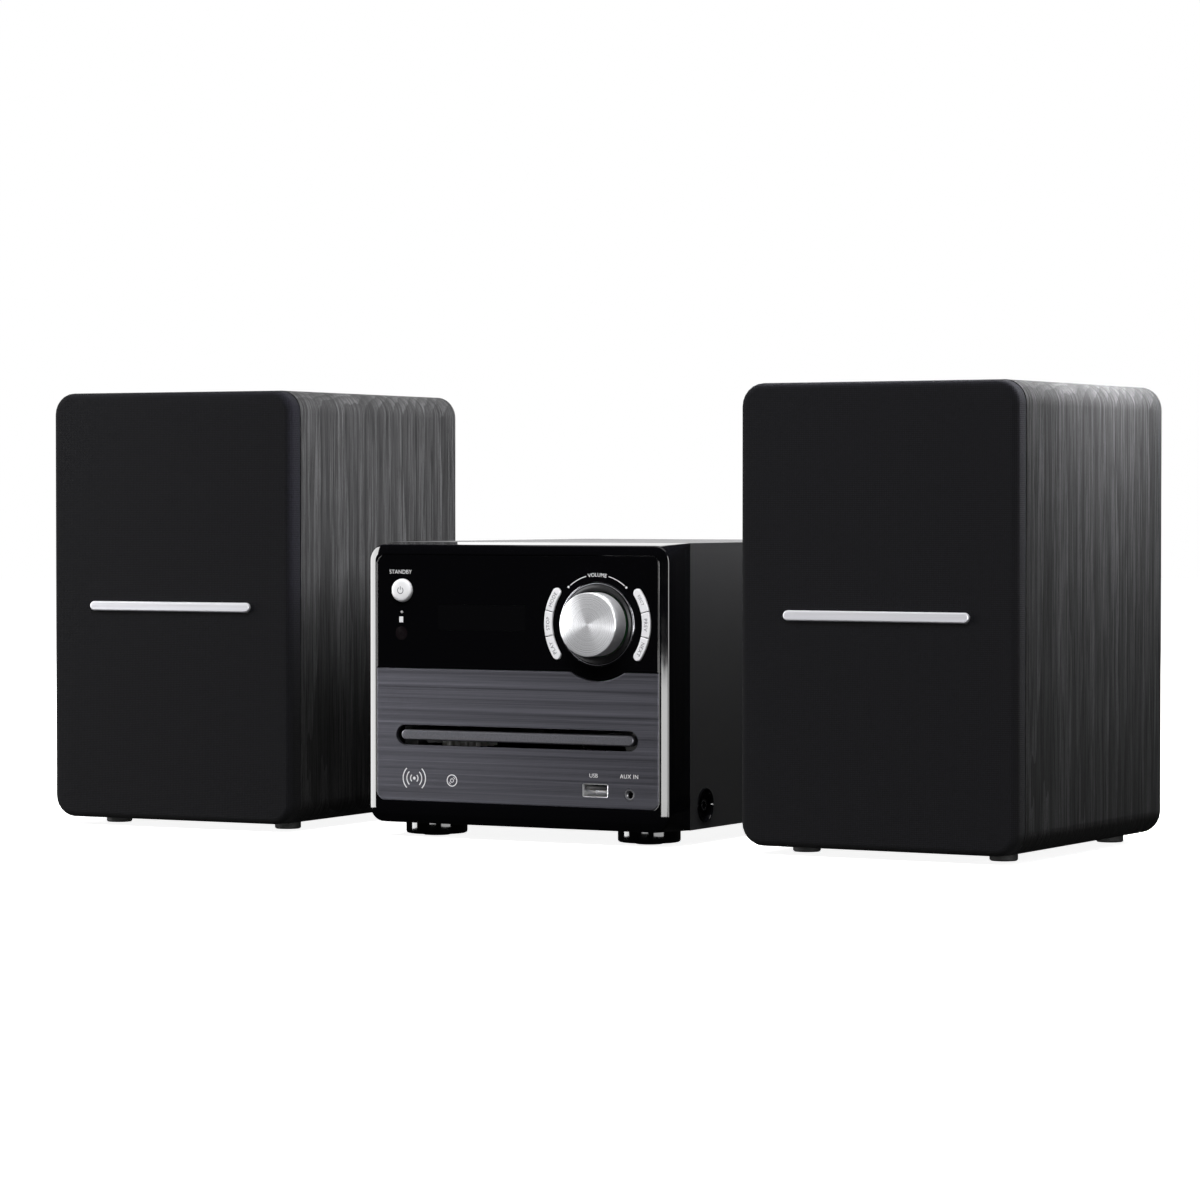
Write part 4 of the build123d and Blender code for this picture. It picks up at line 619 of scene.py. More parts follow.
# ---- Operators -----------------------------------------------------------------------------
TABLE_RADIUS = 7.0
TABLE_GLOW = 0.9               # light given off by the table, so that it stays as white as the surroundings
FILL, DARK, WHITE = 0.12, 0.010, 1.0     # surroundings as surfaces, reflections and the camera meet them
CAMERA_PLACE = (0.98601, -1.83065, 0.16188)
CAMERA_TILT, CAMERA_TURN = 88.6757, 28.615
SENSOR_WIDTH = 36.0            # millimetres, as the lens is
LAMPS = (
    # name, place, aim, size, power, and what it does: light, reflections, or both
    ("front_top", (0.05, -1.25, 1.75), (0, 0, 0.08), (1.6, 0.8), 60, "light"),
    ("top", (0.0, 0.25, 2.0), (0, 0, 0), (2.2, 1.4), 14, "both"),
    ("between", (0.235, 0.0, 0.42), (-0.12, 0.0, 0.11), (0.05, 0.40), 13, "light"),
    ("rear_fill", (0.3, 2.0, 0.9), (0, 0.1, 0.1), (1.60, 0.90), 26, "light"),
    ("left_box", (-1.53, -0.83, 0.38), (-0.08, -0.108, 0.10), (0.80, 1.30), 44, "reflections"),
    ("right_box", (1.42, -0.78, 0.38), (0.08, -0.108, 0.10), (1.10, 1.30), 34, "reflections"),
    ("front_low", (0.55, -2.45, -0.12), (0, 0, 0.0), (1.00, 0.26), 10, "reflections"),
    ("backdrop", (-0.90, 1.80, 0.60), (0, 0, 0.14), (1.90, 1.20), 10, "reflections"),
)


class HIFI_OT_stage(bpy.types.Operator):
    """Build the floor, the lamps, the surroundings and the camera"""

    bl_idname = "hifi.stage"
    bl_label = "Stage"

    def execute(self, context):
        look = settings("stage")
        self.table(context, look)
        self.surroundings(context)
        for name, spot, aim, size, power, job in LAMPS:
            lamp = bpy.data.lights.new(name, "AREA")
            lamp.shape, lamp.size, lamp.size_y = "RECTANGLE", *size
            lamp.energy = power * look.brightness
            holder = bpy.data.objects.new(name, lamp)
            holder.location = spot
            holder.rotation_euler = (Vector(aim) - Vector(spot)).to_track_quat("-Z", "Y").to_euler()
            holder.visible_camera = False
            holder.visible_diffuse = job != "reflections"
            holder.visible_glossy = job != "light"
            context.scene.collection.objects.link(holder)
        camera = bpy.data.cameras.new("camera")
        camera.lens, camera.sensor_width, camera.clip_start = look.lens, SENSOR_WIDTH, 0.05
        holder = bpy.data.objects.new("camera", camera)
        holder.location = CAMERA_PLACE
        holder.rotation_euler = (radians(CAMERA_TILT), 0, radians(CAMERA_TURN))
        context.scene.collection.objects.link(holder)
        context.scene.camera = holder
        context.scene.view_settings.view_transform = "Standard"
        return {"FINISHED"}

    def table(self, context, look):
        """A white table that lamps and reflections pass by, so that it leaves the gloss black alone."""
        bm = bmesh.new()
        bmesh.ops.create_circle(bm, cap_ends=True, segments=96, radius=TABLE_RADIUS)
        mesh = bpy.data.meshes.new("table_top")
        bm.to_mesh(mesh)
        bm.free()
        table = bpy.data.objects.new("table_top", mesh)
        context.scene.collection.objects.link(table)
        finish = Finish("table_top", tuple(look.floor), 0.9, Emission_Color=(1, 1, 1, 1),
                        Emission_Strength=TABLE_GLOW)
        mesh.materials.append(finish.material)
        table.visible_glossy = table.visible_diffuse = table.visible_shadow = False

    def surroundings(self, context):
        """White behind the set, a soft grey for fill, and near darkness for reflections."""
        world = bpy.data.worlds.new("studio")
        context.scene.world = world
        world.use_nodes = True
        tree = world.node_tree
        tree.nodes.clear()
        path = tree.nodes.new("ShaderNodeLightPath")
        mixed = None
        for ray, level in ((None, FILL), ("Is Glossy Ray", DARK), ("Is Camera Ray", WHITE)):
            background = tree.nodes.new("ShaderNodeBackground")
            background.inputs["Color"].default_value = (1, 1, 1, 1)
            background.inputs["Strength"].default_value = level
            if ray is None:
                mixed = background.outputs[0]
                continue
            mix = tree.nodes.new("ShaderNodeMixShader")
            tree.links.new(path.outputs[ray], mix.inputs[0])
            tree.links.new(mixed, mix.inputs[1])
            tree.links.new(background.outputs[0], mix.inputs[2])
            mixed = mix.outputs[0]
        output = tree.nodes.new("ShaderNodeOutputWorld")
        tree.links.new(mixed, output.inputs["Surface"])


FRAME_DROP = 1.0 * MM          # how much lower the frame's front is than its back
FRAME_CORNER = 8.0 * MM        # corner radius at the front
REAR_CORNER = 1.0 * MM         # corner radius where the frame meets the case
FRAME_WALL = 3.5 * MM          # wall of the frame behind its web
WEB_BACK = 5.0 * MM            # from the front to the back of the web behind the panels
LEDGE = 2.2 * MM               # how far the web reaches in behind the panels
LEDGE_CORNER = 2.0 * MM
PANEL_GAP = 0.1 * MM           # clearance round the front panels
PANEL_CORNER = 4.1 * MM        # corner radius of the opening that the panels sit in
LIP = 0.45 * MM                # rounding of that opening's edge
BREAK_WIDTH, BREAK_DEPTH = 0.25 * MM, 0.04 * MM    # soft break between the flat band and the slope
SLOPE_SHARE, EDGE_STRETCH = 0.72, 1.25             # where the slope ends, and how long the edge's turn is
STEP = 0.02 * MM               # between neighbouring loops, so that bridging them can't turn one over


class HIFI_OT_bezel(bpy.types.Operator):
    """Build the gloss frame round the front"""

    bl_idname = "hifi.bezel"
    bl_label = "Front frame"

    def execute(self, context):
        look = settings("receiver")
        low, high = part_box("bezel")
        front, back = low.y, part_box("cover")[0].y
        wide, full_tall = high.x - low.x, high.z - low.z
        tall = full_tall - FRAME_DROP
        rear_z = (low.z + high.z) / 2
        front_z = rear_z - FRAME_DROP / 2
        panel_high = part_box("upper_fascia")[1]
        hole_wide = panel_high.x - PANEL_LOW.x + 2 * PANEL_GAP
        hole_tall = panel_high.z - PANEL_LOW.z + 2 * PANEL_GAP
        hole_z = (panel_high.z + PANEL_LOW.z) / 2
        bm = bmesh.new()
        loops = []

        def add(width, height, corner, depth, z, inset=0.0):
            """One loop of the section, drawn in by an inset."""
            drawn = (width - 2 * inset, height - 2 * inset, corner - inset)
            loops.append(rounded_loop(bm, *drawn, front + depth, z=z))

        add(hole_wide, hole_tall, PANEL_CORNER, PANEL_DEPTH, hole_z)
        for across, along in quarter(4):
            add(hole_wide, hole_tall, PANEL_CORNER, LIP * (1 - across), hole_z, -LIP * along)
        add(wide, tall, FRAME_CORNER, 0, front_z, look.slope_width)
        add(wide, tall, FRAME_CORNER, BREAK_DEPTH, front_z, look.slope_width - BREAK_WIDTH)
        for across, along in quarter(7)[1:]:
            depth = look.slope_depth * SLOPE_SHARE + look.edge * EDGE_STRETCH * along
            add(wide, tall, FRAME_CORNER, depth, front_z, look.edge * (1 - across))
        for share in (0.3, 0.65, 1.0):
            add(wide, tall + FRAME_DROP * share, FRAME_CORNER + (REAR_CORNER - FRAME_CORNER) * share,
                PANEL_DEPTH + (back - front - PANEL_DEPTH) * share, front_z + FRAME_DROP * share / 2)
        add(wide - 2 * FRAME_WALL, full_tall - 2 * FRAME_WALL, REAR_CORNER, back - front - STEP, rear_z)
        add(wide - 2 * FRAME_WALL, full_tall - 2 * FRAME_WALL, REAR_CORNER, WEB_BACK, rear_z)
        add(hole_wide - 2 * LEDGE, hole_tall - 2 * LEDGE, LEDGE_CORNER, WEB_BACK - STEP, hole_z)
        add(hole_wide - 2 * LEDGE, hole_tall - 2 * LEDGE, LEDGE_CORNER, PANEL_DEPTH + STEP, hole_z)
        skin(bm, loops, closed=True)
        place_piece(bm, "front_frame", "main_unit", finish_of(gloss_black), ["bezel"])
        return {"FINISHED"}


class HIFI_OT_fascias(bpy.types.Operator):
    """Finish the two front panels and the display window"""

    bl_idname = "hifi.fascias"
    bl_label = "Front panels"

    def execute(self, context):
        dress_all({"upper_fascia": (gloss_black, "fascia_black", 0.028), "lower_fascia": (brushed_panel,),
                   "display_window": (smoked_window,)})
        return {"FINISHED"}


KNOB_WALL = 1.1 * MM
RING_BORE = 15.7 * MM          # opening of the dished ring, round the knob
RING_RIM = 0.85 * MM           # width of the bright rim on the ring
RIM_FLATNESS = 0.6             # height of the rim's curve as a share of its half width


class HIFI_OT_knob(bpy.types.Operator):
    """Turn the volume knob and the dished ring round it"""

    bl_idname = "hifi.knob"
    bl_label = "Volume knob"

    def execute(self, context):
        look = settings("knob")
        centre = Matrix.Translation((KNOB.x, 0, KNOB.z))
        self.cap(look, centre)
        self.ring(look, centre)
        dress("knob_hub", finish_of(moulding))
        return {"FINISHED"}

    def cap(self, look, centre):
        """The knob: a small dimple in its face, a polished edge and an open back."""
        low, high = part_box("knob_cap")
        radius, edge = (high.x - low.x) / 2, look.edge
        profile = offsets(0, low.y, (0, 0.10), (1.2, 0.03), (2.5, 0)) + [(radius - edge, low.y)]
        profile += [(radius - edge * (1 - a), low.y + edge * b) for a, b in quarter(3)[1:]]
        profile += offsets(radius, low.y, (0, 2.0)) + [(radius, high.y), (radius - KNOB_WALL, high.y)]
        profile += [(radius - KNOB_WALL, low.y + KNOB_WALL), (0, low.y + KNOB_WALL)]
        bm = bmesh.new()
        lathe(bm, profile, look.steps, uv=True)
        place_piece(bm, "knob", "volume_knob", finish_of(turned_metal), ["knob_cap"],
                    centre, angle=24)

    def ring(self, look, centre):
        """The dish that the knob stands in, and the bright rim round it."""
        low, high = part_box("knob_ring")
        outer, proud, seat = (high.x - low.x) / 2, low.y, high.y
        inner, half = outer - RING_RIM, RING_RIM / 2
        dish = offsets(RING_BORE, FRONT, (0, 1.3), (0.5, 1.25), (1.6, 0.95))
        dish += offsets(inner, FRONT, (-0.8, 0.35), (-0.3, -0.1), (0, 0)) + [(inner, seat), (RING_BORE, seat)]
        bm = bmesh.new()
        lathe(bm, dish, look.steps, closed=True)
        place_piece(bm, "knob_ring_dish", "main_unit", finish_of(gloss_black, "ring_black", 0.16),
                    ["knob_ring"], centre, angle=50)
        turns = [pi * i / 8 for i in range(9)]
        rim = [(inner + half * (1 - cos(t)), proud + half * (1 - sin(t)) * RIM_FLATNESS) for t in turns]
        bm = bmesh.new()
        lathe(bm, rim + [(outer, seat)] + offsets(inner, seat, (0.01, 0)), look.steps, closed=True)
        place_piece(bm, "knob_ring_rim", "main_unit",
                    finish_of(metal, "dark_chrome", (0.30, 0.30, 0.32), 0.10), (), centre, angle=50)


BUTTON_LETTER = 1.75 * MM      # height of the letters on the arc buttons
BUTTON_LETTER_RADIUS = 26.35 * MM        # from the knob's middle to the middle of those letters
# Radius and fall of the standby cap's face, then of the flange behind the panel, in millimetres.
STANDBY_DOME = ((0, 0), (2.2, 0.02), (3.9, 0.10), (4.7, 0.24), (5.15, 0.48), (5.45, 0.85), (5.6, 1.4))
STANDBY_FLANGE = ((5.6, 0), (6.5, 0), (6.5, 1.0), (0, 1.0))
SIGN_RADIUS, SIGN_STROKE = 1.55 * MM, 0.36 * MM    # the standby sign's ring
SIGN_GAP = 35                  # degrees from the top to each end of the ring
SIGN_BAR = (0.3 * MM, 2.0 * MM)          # foot and top of the bar in the ring's gap


class HIFI_OT_buttons(bpy.types.Operator):
    """Finish the press buttons and put their signs on them"""

    bl_idname = "hifi.buttons"
    bl_label = "Buttons"

    def execute(self, context):
        look = settings("receiver")
        grey = finish_of(ink, "button_ink", (0.14, 0.14, 0.16))
        for node, (word, angle) in ARC_BUTTONS.items():
            dress(node, finish_of(button_white))
            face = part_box(node)[0].y
            bm = bmesh.new()
            word_shape(bm, word, BUTTON_LETTER, face - look.ink_height, face + look.ink_height,
                       BUTTON_LETTER_RADIUS, (KNOB.x, KNOB.z), 90 - angle, 1.12)
            place_piece(bm, node.replace("_button", "_legend"), node, grey)
        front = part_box("standby_button")[0].y
        place = Matrix.Translation((STANDBY.x, 0, STANDBY.z))
        bm = bmesh.new()
        lathe(bm, offsets(0, front, *STANDBY_DOME) + offsets(0, PANEL_BACK, *STANDBY_FLANGE), 64)
        place_piece(bm, "standby_cap", "standby_button", finish_of(button_white),
                    ["standby_button"], place)
        bm = bmesh.new()
        low, high = front - look.ink_height, front + 4 * look.ink_height
        arc_band(bm, SIGN_RADIUS, SIGN_STROKE, SIGN_GAP, 360 - SIGN_GAP, low, high)
        box_shape(bm, (-SIGN_STROKE / 2, low, SIGN_BAR[0]), (SIGN_STROKE / 2, high, SIGN_BAR[1]))
        place_piece(bm, "standby_sign", "standby_button", grey, place=place)
        return {"FINISHED"}


WORDS = (
    # word, share of the letter height, place, millimetres across and up from it, spacing
    ("STANDBY", 0.92, STANDBY, (-1.0, 9.0), 1.05),
    ("USB", 0.9, USB, (-0.7, 7.1), 1.0),
    ("AUX IN", 0.9, AUX, (-0.2, 8.7), 1.1),
)
SCALE_RADIUS = 23.4 * MM       # the word over the knob, and the line on each side of it
SCALE_STROKE = 0.34 * MM
SCALE_START, SCALE_END, SCALE_DOT_AT = 15.0, 38.5, 41.6            # degrees from the top
SCALE_DOT = 0.55 * MM          # radius of the dot at each end
EYE_MARK = (1.1 * MM, 1.4 * MM)          # half width and half height of the mark over the remote's eye
EYE_MARK_AT, EYE_AT = (-0.7, -14.1), (-0.6, -20.7)                 # mm from the standby button
INDICATOR_AT = (-0.3, -10.5)
EYE_RADIUS, EYE_DOME = 3.3 * MM, 0.10 * MM
INDICATOR_RADIUS, INDICATOR_DOME = 0.7 * MM, 0.25 * MM
WAVES_AT, DISC_AT = (21.0, 11.1), (42.2, 10.6)                     # mm from the lower panel's corner
WAVE_DOT, WAVE_PITCH, WAVE_STROKE = 0.75 * MM, 2.1 * MM, 0.55 * MM
WAVE_SPREAD = 48               # degrees that a wave reaches to each side of level
# The disc sign's strokes: radius and width in millimetres, start and end in degrees.
DISC_STROKES = ((2.7, 0.45, 0, 360), (0.85, 0.35, 0, 360), (1.8, 0.3, 20, 70), (1.8, 0.3, 200, 250))


class HIFI_OT_legends(bpy.types.Operator):
    """Print the words and signs on the front, and set the indicator and the remote control's eye into it"""

    bl_idname = "hifi.legends"
    bl_label = "Legends"

    def execute(self, context):
        look = settings("receiver")
        low, high = FRONT - look.ink_height, FRONT + look.ink_height
        bm = bmesh.new()
        for word, share, spot, (right, up), spacing in WORDS:
            centre = (spot.x + right * MM, spot.z + up * MM)
            word_shape(bm, word, look.letter * share, low, high, centre=centre, spacing=spacing)
        self.volume_scale(bm, look, low, high)
        mark = bmesh.new()
        box_shape(mark, (-EYE_MARK[0], low, -EYE_MARK[1]), (EYE_MARK[0], high, EYE_MARK[1]))
        join_shape(bm, mark, beside(STANDBY, EYE_MARK_AT))
        self.signs(bm, low, high)
        place_piece(bm, "front_legends", "main_unit", finish_of(ink))
        eye = disc_shape(EYE_RADIUS, low, high, 48, EYE_DOME)
        place_piece(eye, "remote_eye", "main_unit",
                    finish_of(coloured_plastic, "eye_plastic", (0.006, 0.004, 0.005), 0.12),
                    place=beside(STANDBY, EYE_AT))
        lamp = disc_shape(INDICATOR_RADIUS, low, high, 24, INDICATOR_DOME)
        place_piece(lamp, "indicator", "main_unit",
                    finish_of(coloured_plastic, "indicator_lens", (0.30, 0.29, 0.30), 0.2),
                    place=beside(STANDBY, INDICATOR_AT))
        return {"FINISHED"}

    def volume_scale(self, bm, look, low, high):
        """The word over the knob, with a line and a dot on each side."""
        word_shape(bm, "VOLUME", look.letter * 0.84, low, high, SCALE_RADIUS, (KNOB.x, KNOB.z), 0, 1.05)
        knob = Matrix.Translation((KNOB.x, 0, KNOB.z))
        for side in (-1, 1):
            band = bmesh.new()
            arc_band(band, SCALE_RADIUS, SCALE_STROKE, side * SCALE_START, side * SCALE_END, low, high)
            join_shape(bm, band, knob)
            turn = Matrix.Rotation(radians(side * SCALE_DOT_AT), 4, "Y")
            join_shape(bm, disc_shape(SCALE_DOT, low, high),
                       knob @ turn @ Matrix.Translation((0, 0, SCALE_RADIUS)))

    def signs(self, bm, low, high):
        """Two plain signs near the lower left corner: radio waves, and a disc."""
        waves = beside(PANEL_LOW, WAVES_AT)
        join_shape(bm, disc_shape(WAVE_DOT, low, high), waves)
        for ring in range(1, 4):
            for side in (90, 270):
                arc = bmesh.new()
                start, end = side - WAVE_SPREAD, side + WAVE_SPREAD
                arc_band(arc, ring * WAVE_PITCH, WAVE_STROKE, start, end, low, high)
                join_shape(bm, arc, waves)
        for radius, width, start, end in DISC_STROKES:
            ring = bmesh.new()
            arc_band(ring, radius * MM, width * MM, start, end, low, high, 40)
            join_shape(bm, ring, beside(PANEL_LOW, DISC_AT))


USB_WALL = 0.45 * MM
USB_PROUD = 0.02 * MM          # how far the shell stands out of its node's front
USB_END = 1.0 * MM             # thickness of the shell's closed end
USB_CONTACT_PITCH = 2.4 * MM
PLUG_BORE = 1.78 * MM          # radius that a 3.5 mm plug goes into
AUX_RADIUS, AUX_FLANGE = 2.7 * MM, 4.0 * MM
SPRING = 0.25 * MM             # thickness of the contact inside the 3.5 mm socket
# The dish round the headphone socket, and the collar in it.
DISH_RADIUS, DISH_RIM, DISH_DEPTH, COLLAR_RADIUS = 8.2 * MM, 0.9 * MM, 3.0 * MM, 3.2 * MM
# The sockets on the back: their metal sleeve, the bore for the pin, and the flange behind the panel.
SLEEVE_RADIUS, PIN_BORE, SLEEVE_FLANGE = 4.15 * MM, 1.6 * MM, 6.0 * MM
SLEEVE_ROOT = 8.0 * MM         # depth of the flange
SOCKET_TINTS = {"socket_red": (0.45, 0.012, 0.010), "socket_white": (0.72, 0.72, 0.70),
                "socket_black": (0.012, 0.012, 0.012)}


class HIFI_OT_sockets(bpy.types.Operator):
    """Build the sockets on the front, the side and the back"""

    bl_idname = "hifi.sockets"
    bl_label = "Sockets"

    def execute(self, context):
        self.usb()
        self.aux()
        self.headphones()
        self.rear()
        dress("mains_inlet", finish_of(moulding))
        return {"FINISHED"}

    def usb(self):
        low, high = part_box("usb_socket")
        width, height, front, back = high.x - low.x, high.z - low.z, low.y - USB_PROUD, high.y
        bm = bmesh.new()
        loops = [rounded_loop(bm, width - draw, height - draw, radius * MM, y, x=USB.x, z=USB.z)
                 for draw, radius, y in (
                     # how much smaller than the shell, corner radius in millimetres, depth
                     (0, 1.0, back), (0, 1.0, front + 0.15 * MM), (0.3 * MM, 0.9, front),
                     (1.7 * USB_WALL, 0.7, front + 0.05 * MM), (2.2 * USB_WALL, 0.6, front + 0.5 * MM),
                     (2.2 * USB_WALL, 0.6, back - USB_END))]
        skin(bm, loops, cap_first=True, cap_last=True)
        place_piece(bm, "usb_shell", "main_unit", finish_of(metal, "shell_metal", (0.80, 0.80, 0.82), 0.42),
                    ["usb_socket"])
        half = width / 2 - 1.1 * MM
        bm = bmesh.new()
        box_shape(bm, (USB.x - half, front + 1.0 * MM, USB.z + 0.1 * MM),
                  (USB.x + half, back - USB_END, USB.z + 1.9 * MM), 0.2 * MM, 2)
        place_piece(bm, "usb_tongue", "main_unit", finish_of(moulding))
        bm = bmesh.new()
        for i in range(4):
            x = USB.x + (i - 1.5) * USB_CONTACT_PITCH
            box_shape(bm, (x - 0.5 * MM, front + 2 * MM, USB.z - 0.02 * MM),
                      (x + 0.5 * MM, front + 8 * MM, USB.z + 0.2 * MM), 0.05 * MM, 1)
        place_piece(bm, "usb_contacts", "main_unit", finish_of(metal, "gold", (0.78, 0.58, 0.25), 0.25))

    def aux(self):
        low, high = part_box("aux_jack")
        front = low.y - 0.05 * MM
        profile = offsets(PLUG_BORE, front, (0, 0.35), (0.2, 0.08), (0.35, 0))
        profile += offsets(AUX_RADIUS, front, (-0.25, 0), (-0.06, 0.08), (0, 0.3))
        profile += [(AUX_RADIUS, PANEL_BACK), (AUX_FLANGE, PANEL_BACK), (AUX_FLANGE, high.y)]
        profile += [(PLUG_BORE, high.y)]
        place = Matrix.Translation((AUX.x, 0, AUX.z))
        bm = bmesh.new()
        lathe(bm, profile, 48, closed=True)
        place_piece(bm, "aux_socket", "main_unit", finish_of(moulding, "grey_moulding", 7.0, 0.4),
                    ["aux_jack"], place)
        bm = bmesh.new()
        inner = PLUG_BORE - SPRING
        lathe(bm, offsets(inner, FRONT, (0, 1.6), (0.23, 1.3), (0.23, 6.0), (0, 6.0)), 48, closed=True)
        place_piece(bm, "aux_contact", "main_unit", finish_of(*NICKEL), (), place)

    def headphones(self):
        low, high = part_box("headphone_jack")
        centre = (low + high) / 2
        back = high.x - low.x
        wall = DISH_RADIUS - DISH_RIM
        profile = offsets(PLUG_BORE, DISH_DEPTH, (0, -1.6), (0.25, -1.85))
        profile += offsets(COLLAR_RADIUS, DISH_DEPTH, (-0.3, -1.85), (0, -1.6), (0, 0))
        profile += offsets(wall, DISH_DEPTH, (-1.2, 0), (-0.45, -0.45))
        profile += offsets(wall, 0, (-0.05, 0.4), (0.2, -0.1))
        profile += offsets(DISH_RADIUS, 0, (-0.3, -0.1), (0, 0.25), (0, 1.0)) + offsets(wall, 0, (0, 1.0))
        profile += [(wall, back), (PLUG_BORE, back)]
        place = Matrix.Translation((high.x, centre.y, centre.z)) @ Matrix.Rotation(radians(90), 4, "Z")
        bm = bmesh.new()
        lathe(bm, profile, 72, closed=True)
        place_piece(bm, "headphone_socket", "main_unit", finish_of(gloss_black),
                    ["headphone_jack"], place)
        contact = offsets(PLUG_BORE, DISH_DEPTH, (0, -1.9))
        contact += offsets(COLLAR_RADIUS, DISH_DEPTH, (-0.5, -1.95), (-0.5, -1.8))
        contact += offsets(PLUG_BORE, DISH_DEPTH, (0, -1.7))
        bm = bmesh.new()
        lathe(bm, contact, 48, closed=True)
        place_piece(bm, "headphone_contact", "main_unit", finish_of(*NICKEL), (), place)

    def rear(self):
        low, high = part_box("rear_sockets")
        panel_back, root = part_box("rear_panel")[1].y, low.y + SLEEVE_ROOT
        left, right, foot, top = (low.x + SLEEVE_FLANGE, high.x - SLEEVE_FLANGE, low.z + SLEEVE_FLANGE,
                                  high.z - SLEEVE_FLANGE)
        spots = ((left, foot), (right, foot), ((low.x + high.x) / 2, top))
        sleeve_profile = offsets(SLEEVE_RADIUS, high.y, (-0.7, -0.02), (-0.3, 0), (0, -0.3))
        sleeve_profile += [(SLEEVE_RADIUS, root), (SLEEVE_FLANGE, root), (SLEEVE_FLANGE, low.y)]
        sleeve_profile += offsets(SLEEVE_RADIUS, low.y, (-0.7, 0))
        plug_profile = offsets(PIN_BORE, high.y, (0, -0.9), (0.3, -1.2))
        plug_profile += offsets(SLEEVE_RADIUS, high.y, (-0.75, -1.2), (-0.75, -9))
        plug_profile += offsets(PIN_BORE, high.y, (0, -9))
        ring_profile = offsets(SLEEVE_RADIUS, panel_back, (0.1, 0.5), (1.3, 0.4), (1.4, 0), (0.1, 0))
        sleeves = bmesh.new()
        for (x, z), (tint, base) in zip(spots, SOCKET_TINTS.items()):
            place = Matrix.Translation((x, 0, z))
            sleeve = bmesh.new()
            lathe(sleeve, sleeve_profile, 48, closed=True)
            join_shape(sleeves, sleeve, place)
            for name, profile in ((tint, plug_profile), (tint + "_ring", ring_profile)):
                bm = bmesh.new()
                lathe(bm, profile, 48, closed=True)
                place_piece(bm, name, "main_unit", finish_of(coloured_plastic, tint, base), (), place)
        place_piece(sleeves, "socket_sleeves", "main_unit", finish_of(*NICKEL),
                    ["rear_sockets"])


FOOT_RADIUS, FOOT_EDGE = 15.0 * MM, 1.2 * MM
PAD_SEAT = 6.4 * MM            # radius of the recess that holds the rubber pad
FOOT_GAP = 0.1 * MM            # between a foot and the frame above it, and the pad in it
STUD_RADIUS, STUD_SHIFT = 2.5 * MM, 3.2 * MM       # the stud that fixes a foot, and how far inward it stands
STUD_OVERLAP = 0.5 * MM        # how far the stud reaches into the foot
STUD_REACH = 1.2 * MM          # how far it reaches into the case's floor


class HIFI_OT_case(bpy.types.Operator):
    """Finish the case, its back and its feet"""

    bl_idname = "hifi.case"
    bl_label = "Case and feet"

    def execute(self, context):
        steel = (painted_steel,)
        dress_all({"cover": steel, "base_plate": steel, "rear_panel": steel, "unit_screws": SCREW_STEEL,
                   "foot_pads": (rubber,)})
        low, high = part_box("unit_feet")
        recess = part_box("foot_pads")[1].z + FOOT_GAP
        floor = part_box("base_plate")[0].z + STUD_REACH
        top, bottom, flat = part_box("bezel")[0].z - FOOT_GAP, low.z, FOOT_RADIUS - FOOT_EDGE
        profile = [(0, recess), (PAD_SEAT, recess), (PAD_SEAT, bottom), (flat, bottom)]
        profile += [(flat + FOOT_EDGE * a, bottom + FOOT_EDGE * b) for a, b in quarter(5)[1:]]
        profile += offsets(FOOT_RADIUS, top, (0, -0.2), (-0.2, 0)) + [(0, top)]
        base = top - STUD_OVERLAP
        stud_profile = [(0, base), (STUD_RADIUS, base), (STUD_RADIUS, floor), (0, floor)]
        upright = Matrix.Rotation(radians(90), 4, "X")
        bm = bmesh.new()
        for x in (FOOT_RADIUS - high.x, high.x - FOOT_RADIUS):
            for y, inward in ((low.y + FOOT_RADIUS, STUD_SHIFT), (high.y - FOOT_RADIUS, -STUD_SHIFT)):
                foot = bmesh.new()
                lathe(foot, profile, 72)
                join_shape(bm, foot, Matrix.Translation((x, y, 0)) @ upright)
                stud = bmesh.new()
                lathe(stud, stud_profile, 24)
                join_shape(bm, stud, Matrix.Translation((x, y + inward, 0)) @ upright)
        bmesh.ops.recalc_face_normals(bm, faces=bm.faces)
        place_piece(bm, "glossy_feet", "main_unit", finish_of(gloss_black), ["unit_feet"])
        return {"FINISHED"}


class HIFI_OT_inside(bpy.types.Operator):
    """Finish the disc tray and everything behind the front"""

    bl_idname = "hifi.inside"
    bl_label = "Tray and inside"

    def execute(self, context):
        plastic, board = (moulding,), (circuit_board,)
        dress_all({
            "tray_front": (tray_metal,), "disc_tray": plastic, "turntable": plastic, "pickup_sled": plastic,
            "loader_frame": plastic,
            "tray_pinion": (coloured_plastic, "white_acetal", (0.75, 0.74, 0.70), 0.4),
            "control_board": board, "main_board": board, "encoder": CAN_STEEL, "spindle_motor": CAN_STEEL,
            "transformer": (metal, "transformer_iron", (0.14, 0.13, 0.12), 0.5),
        })
        return {"FINISHED"}


class HIFI_OT_speakers(bpy.types.Operator):
    """Finish the two speakers and their drivers"""

    bl_idname = "hifi.speakers"
    bl_label = "Speakers"

    def execute(self, context):
        for side in ("left", "right"):
            dress_all({
                "cabinet": (black_ash, side + "_black_ash", speaker_place(side)), "baffle": (painted_board,),
                "driver_basket": (coloured_plastic, "basket_paint", (0.015, 0.015, 0.016), 0.45),
                "driver_cone": (paper_cone,), "driver_screws": SCREW_STEEL,
                "driver_magnet": (coloured_plastic, "ferrite", (0.045, 0.043, 0.042), 0.7),
                "port_tube": (moulding,), "lead_gland": (rubber,), "feet": (rubber,),
            }, side + "_")
        return {"FINISHED"}


CLOTH_GAP = 0.2 * MM           # how much smaller than the cabinet the cloth is, all round
CLOTH_DEPTH = 9.1 * MM         # from the cloth's front to its edge on the frame's side
ROLL_STEPS = 8


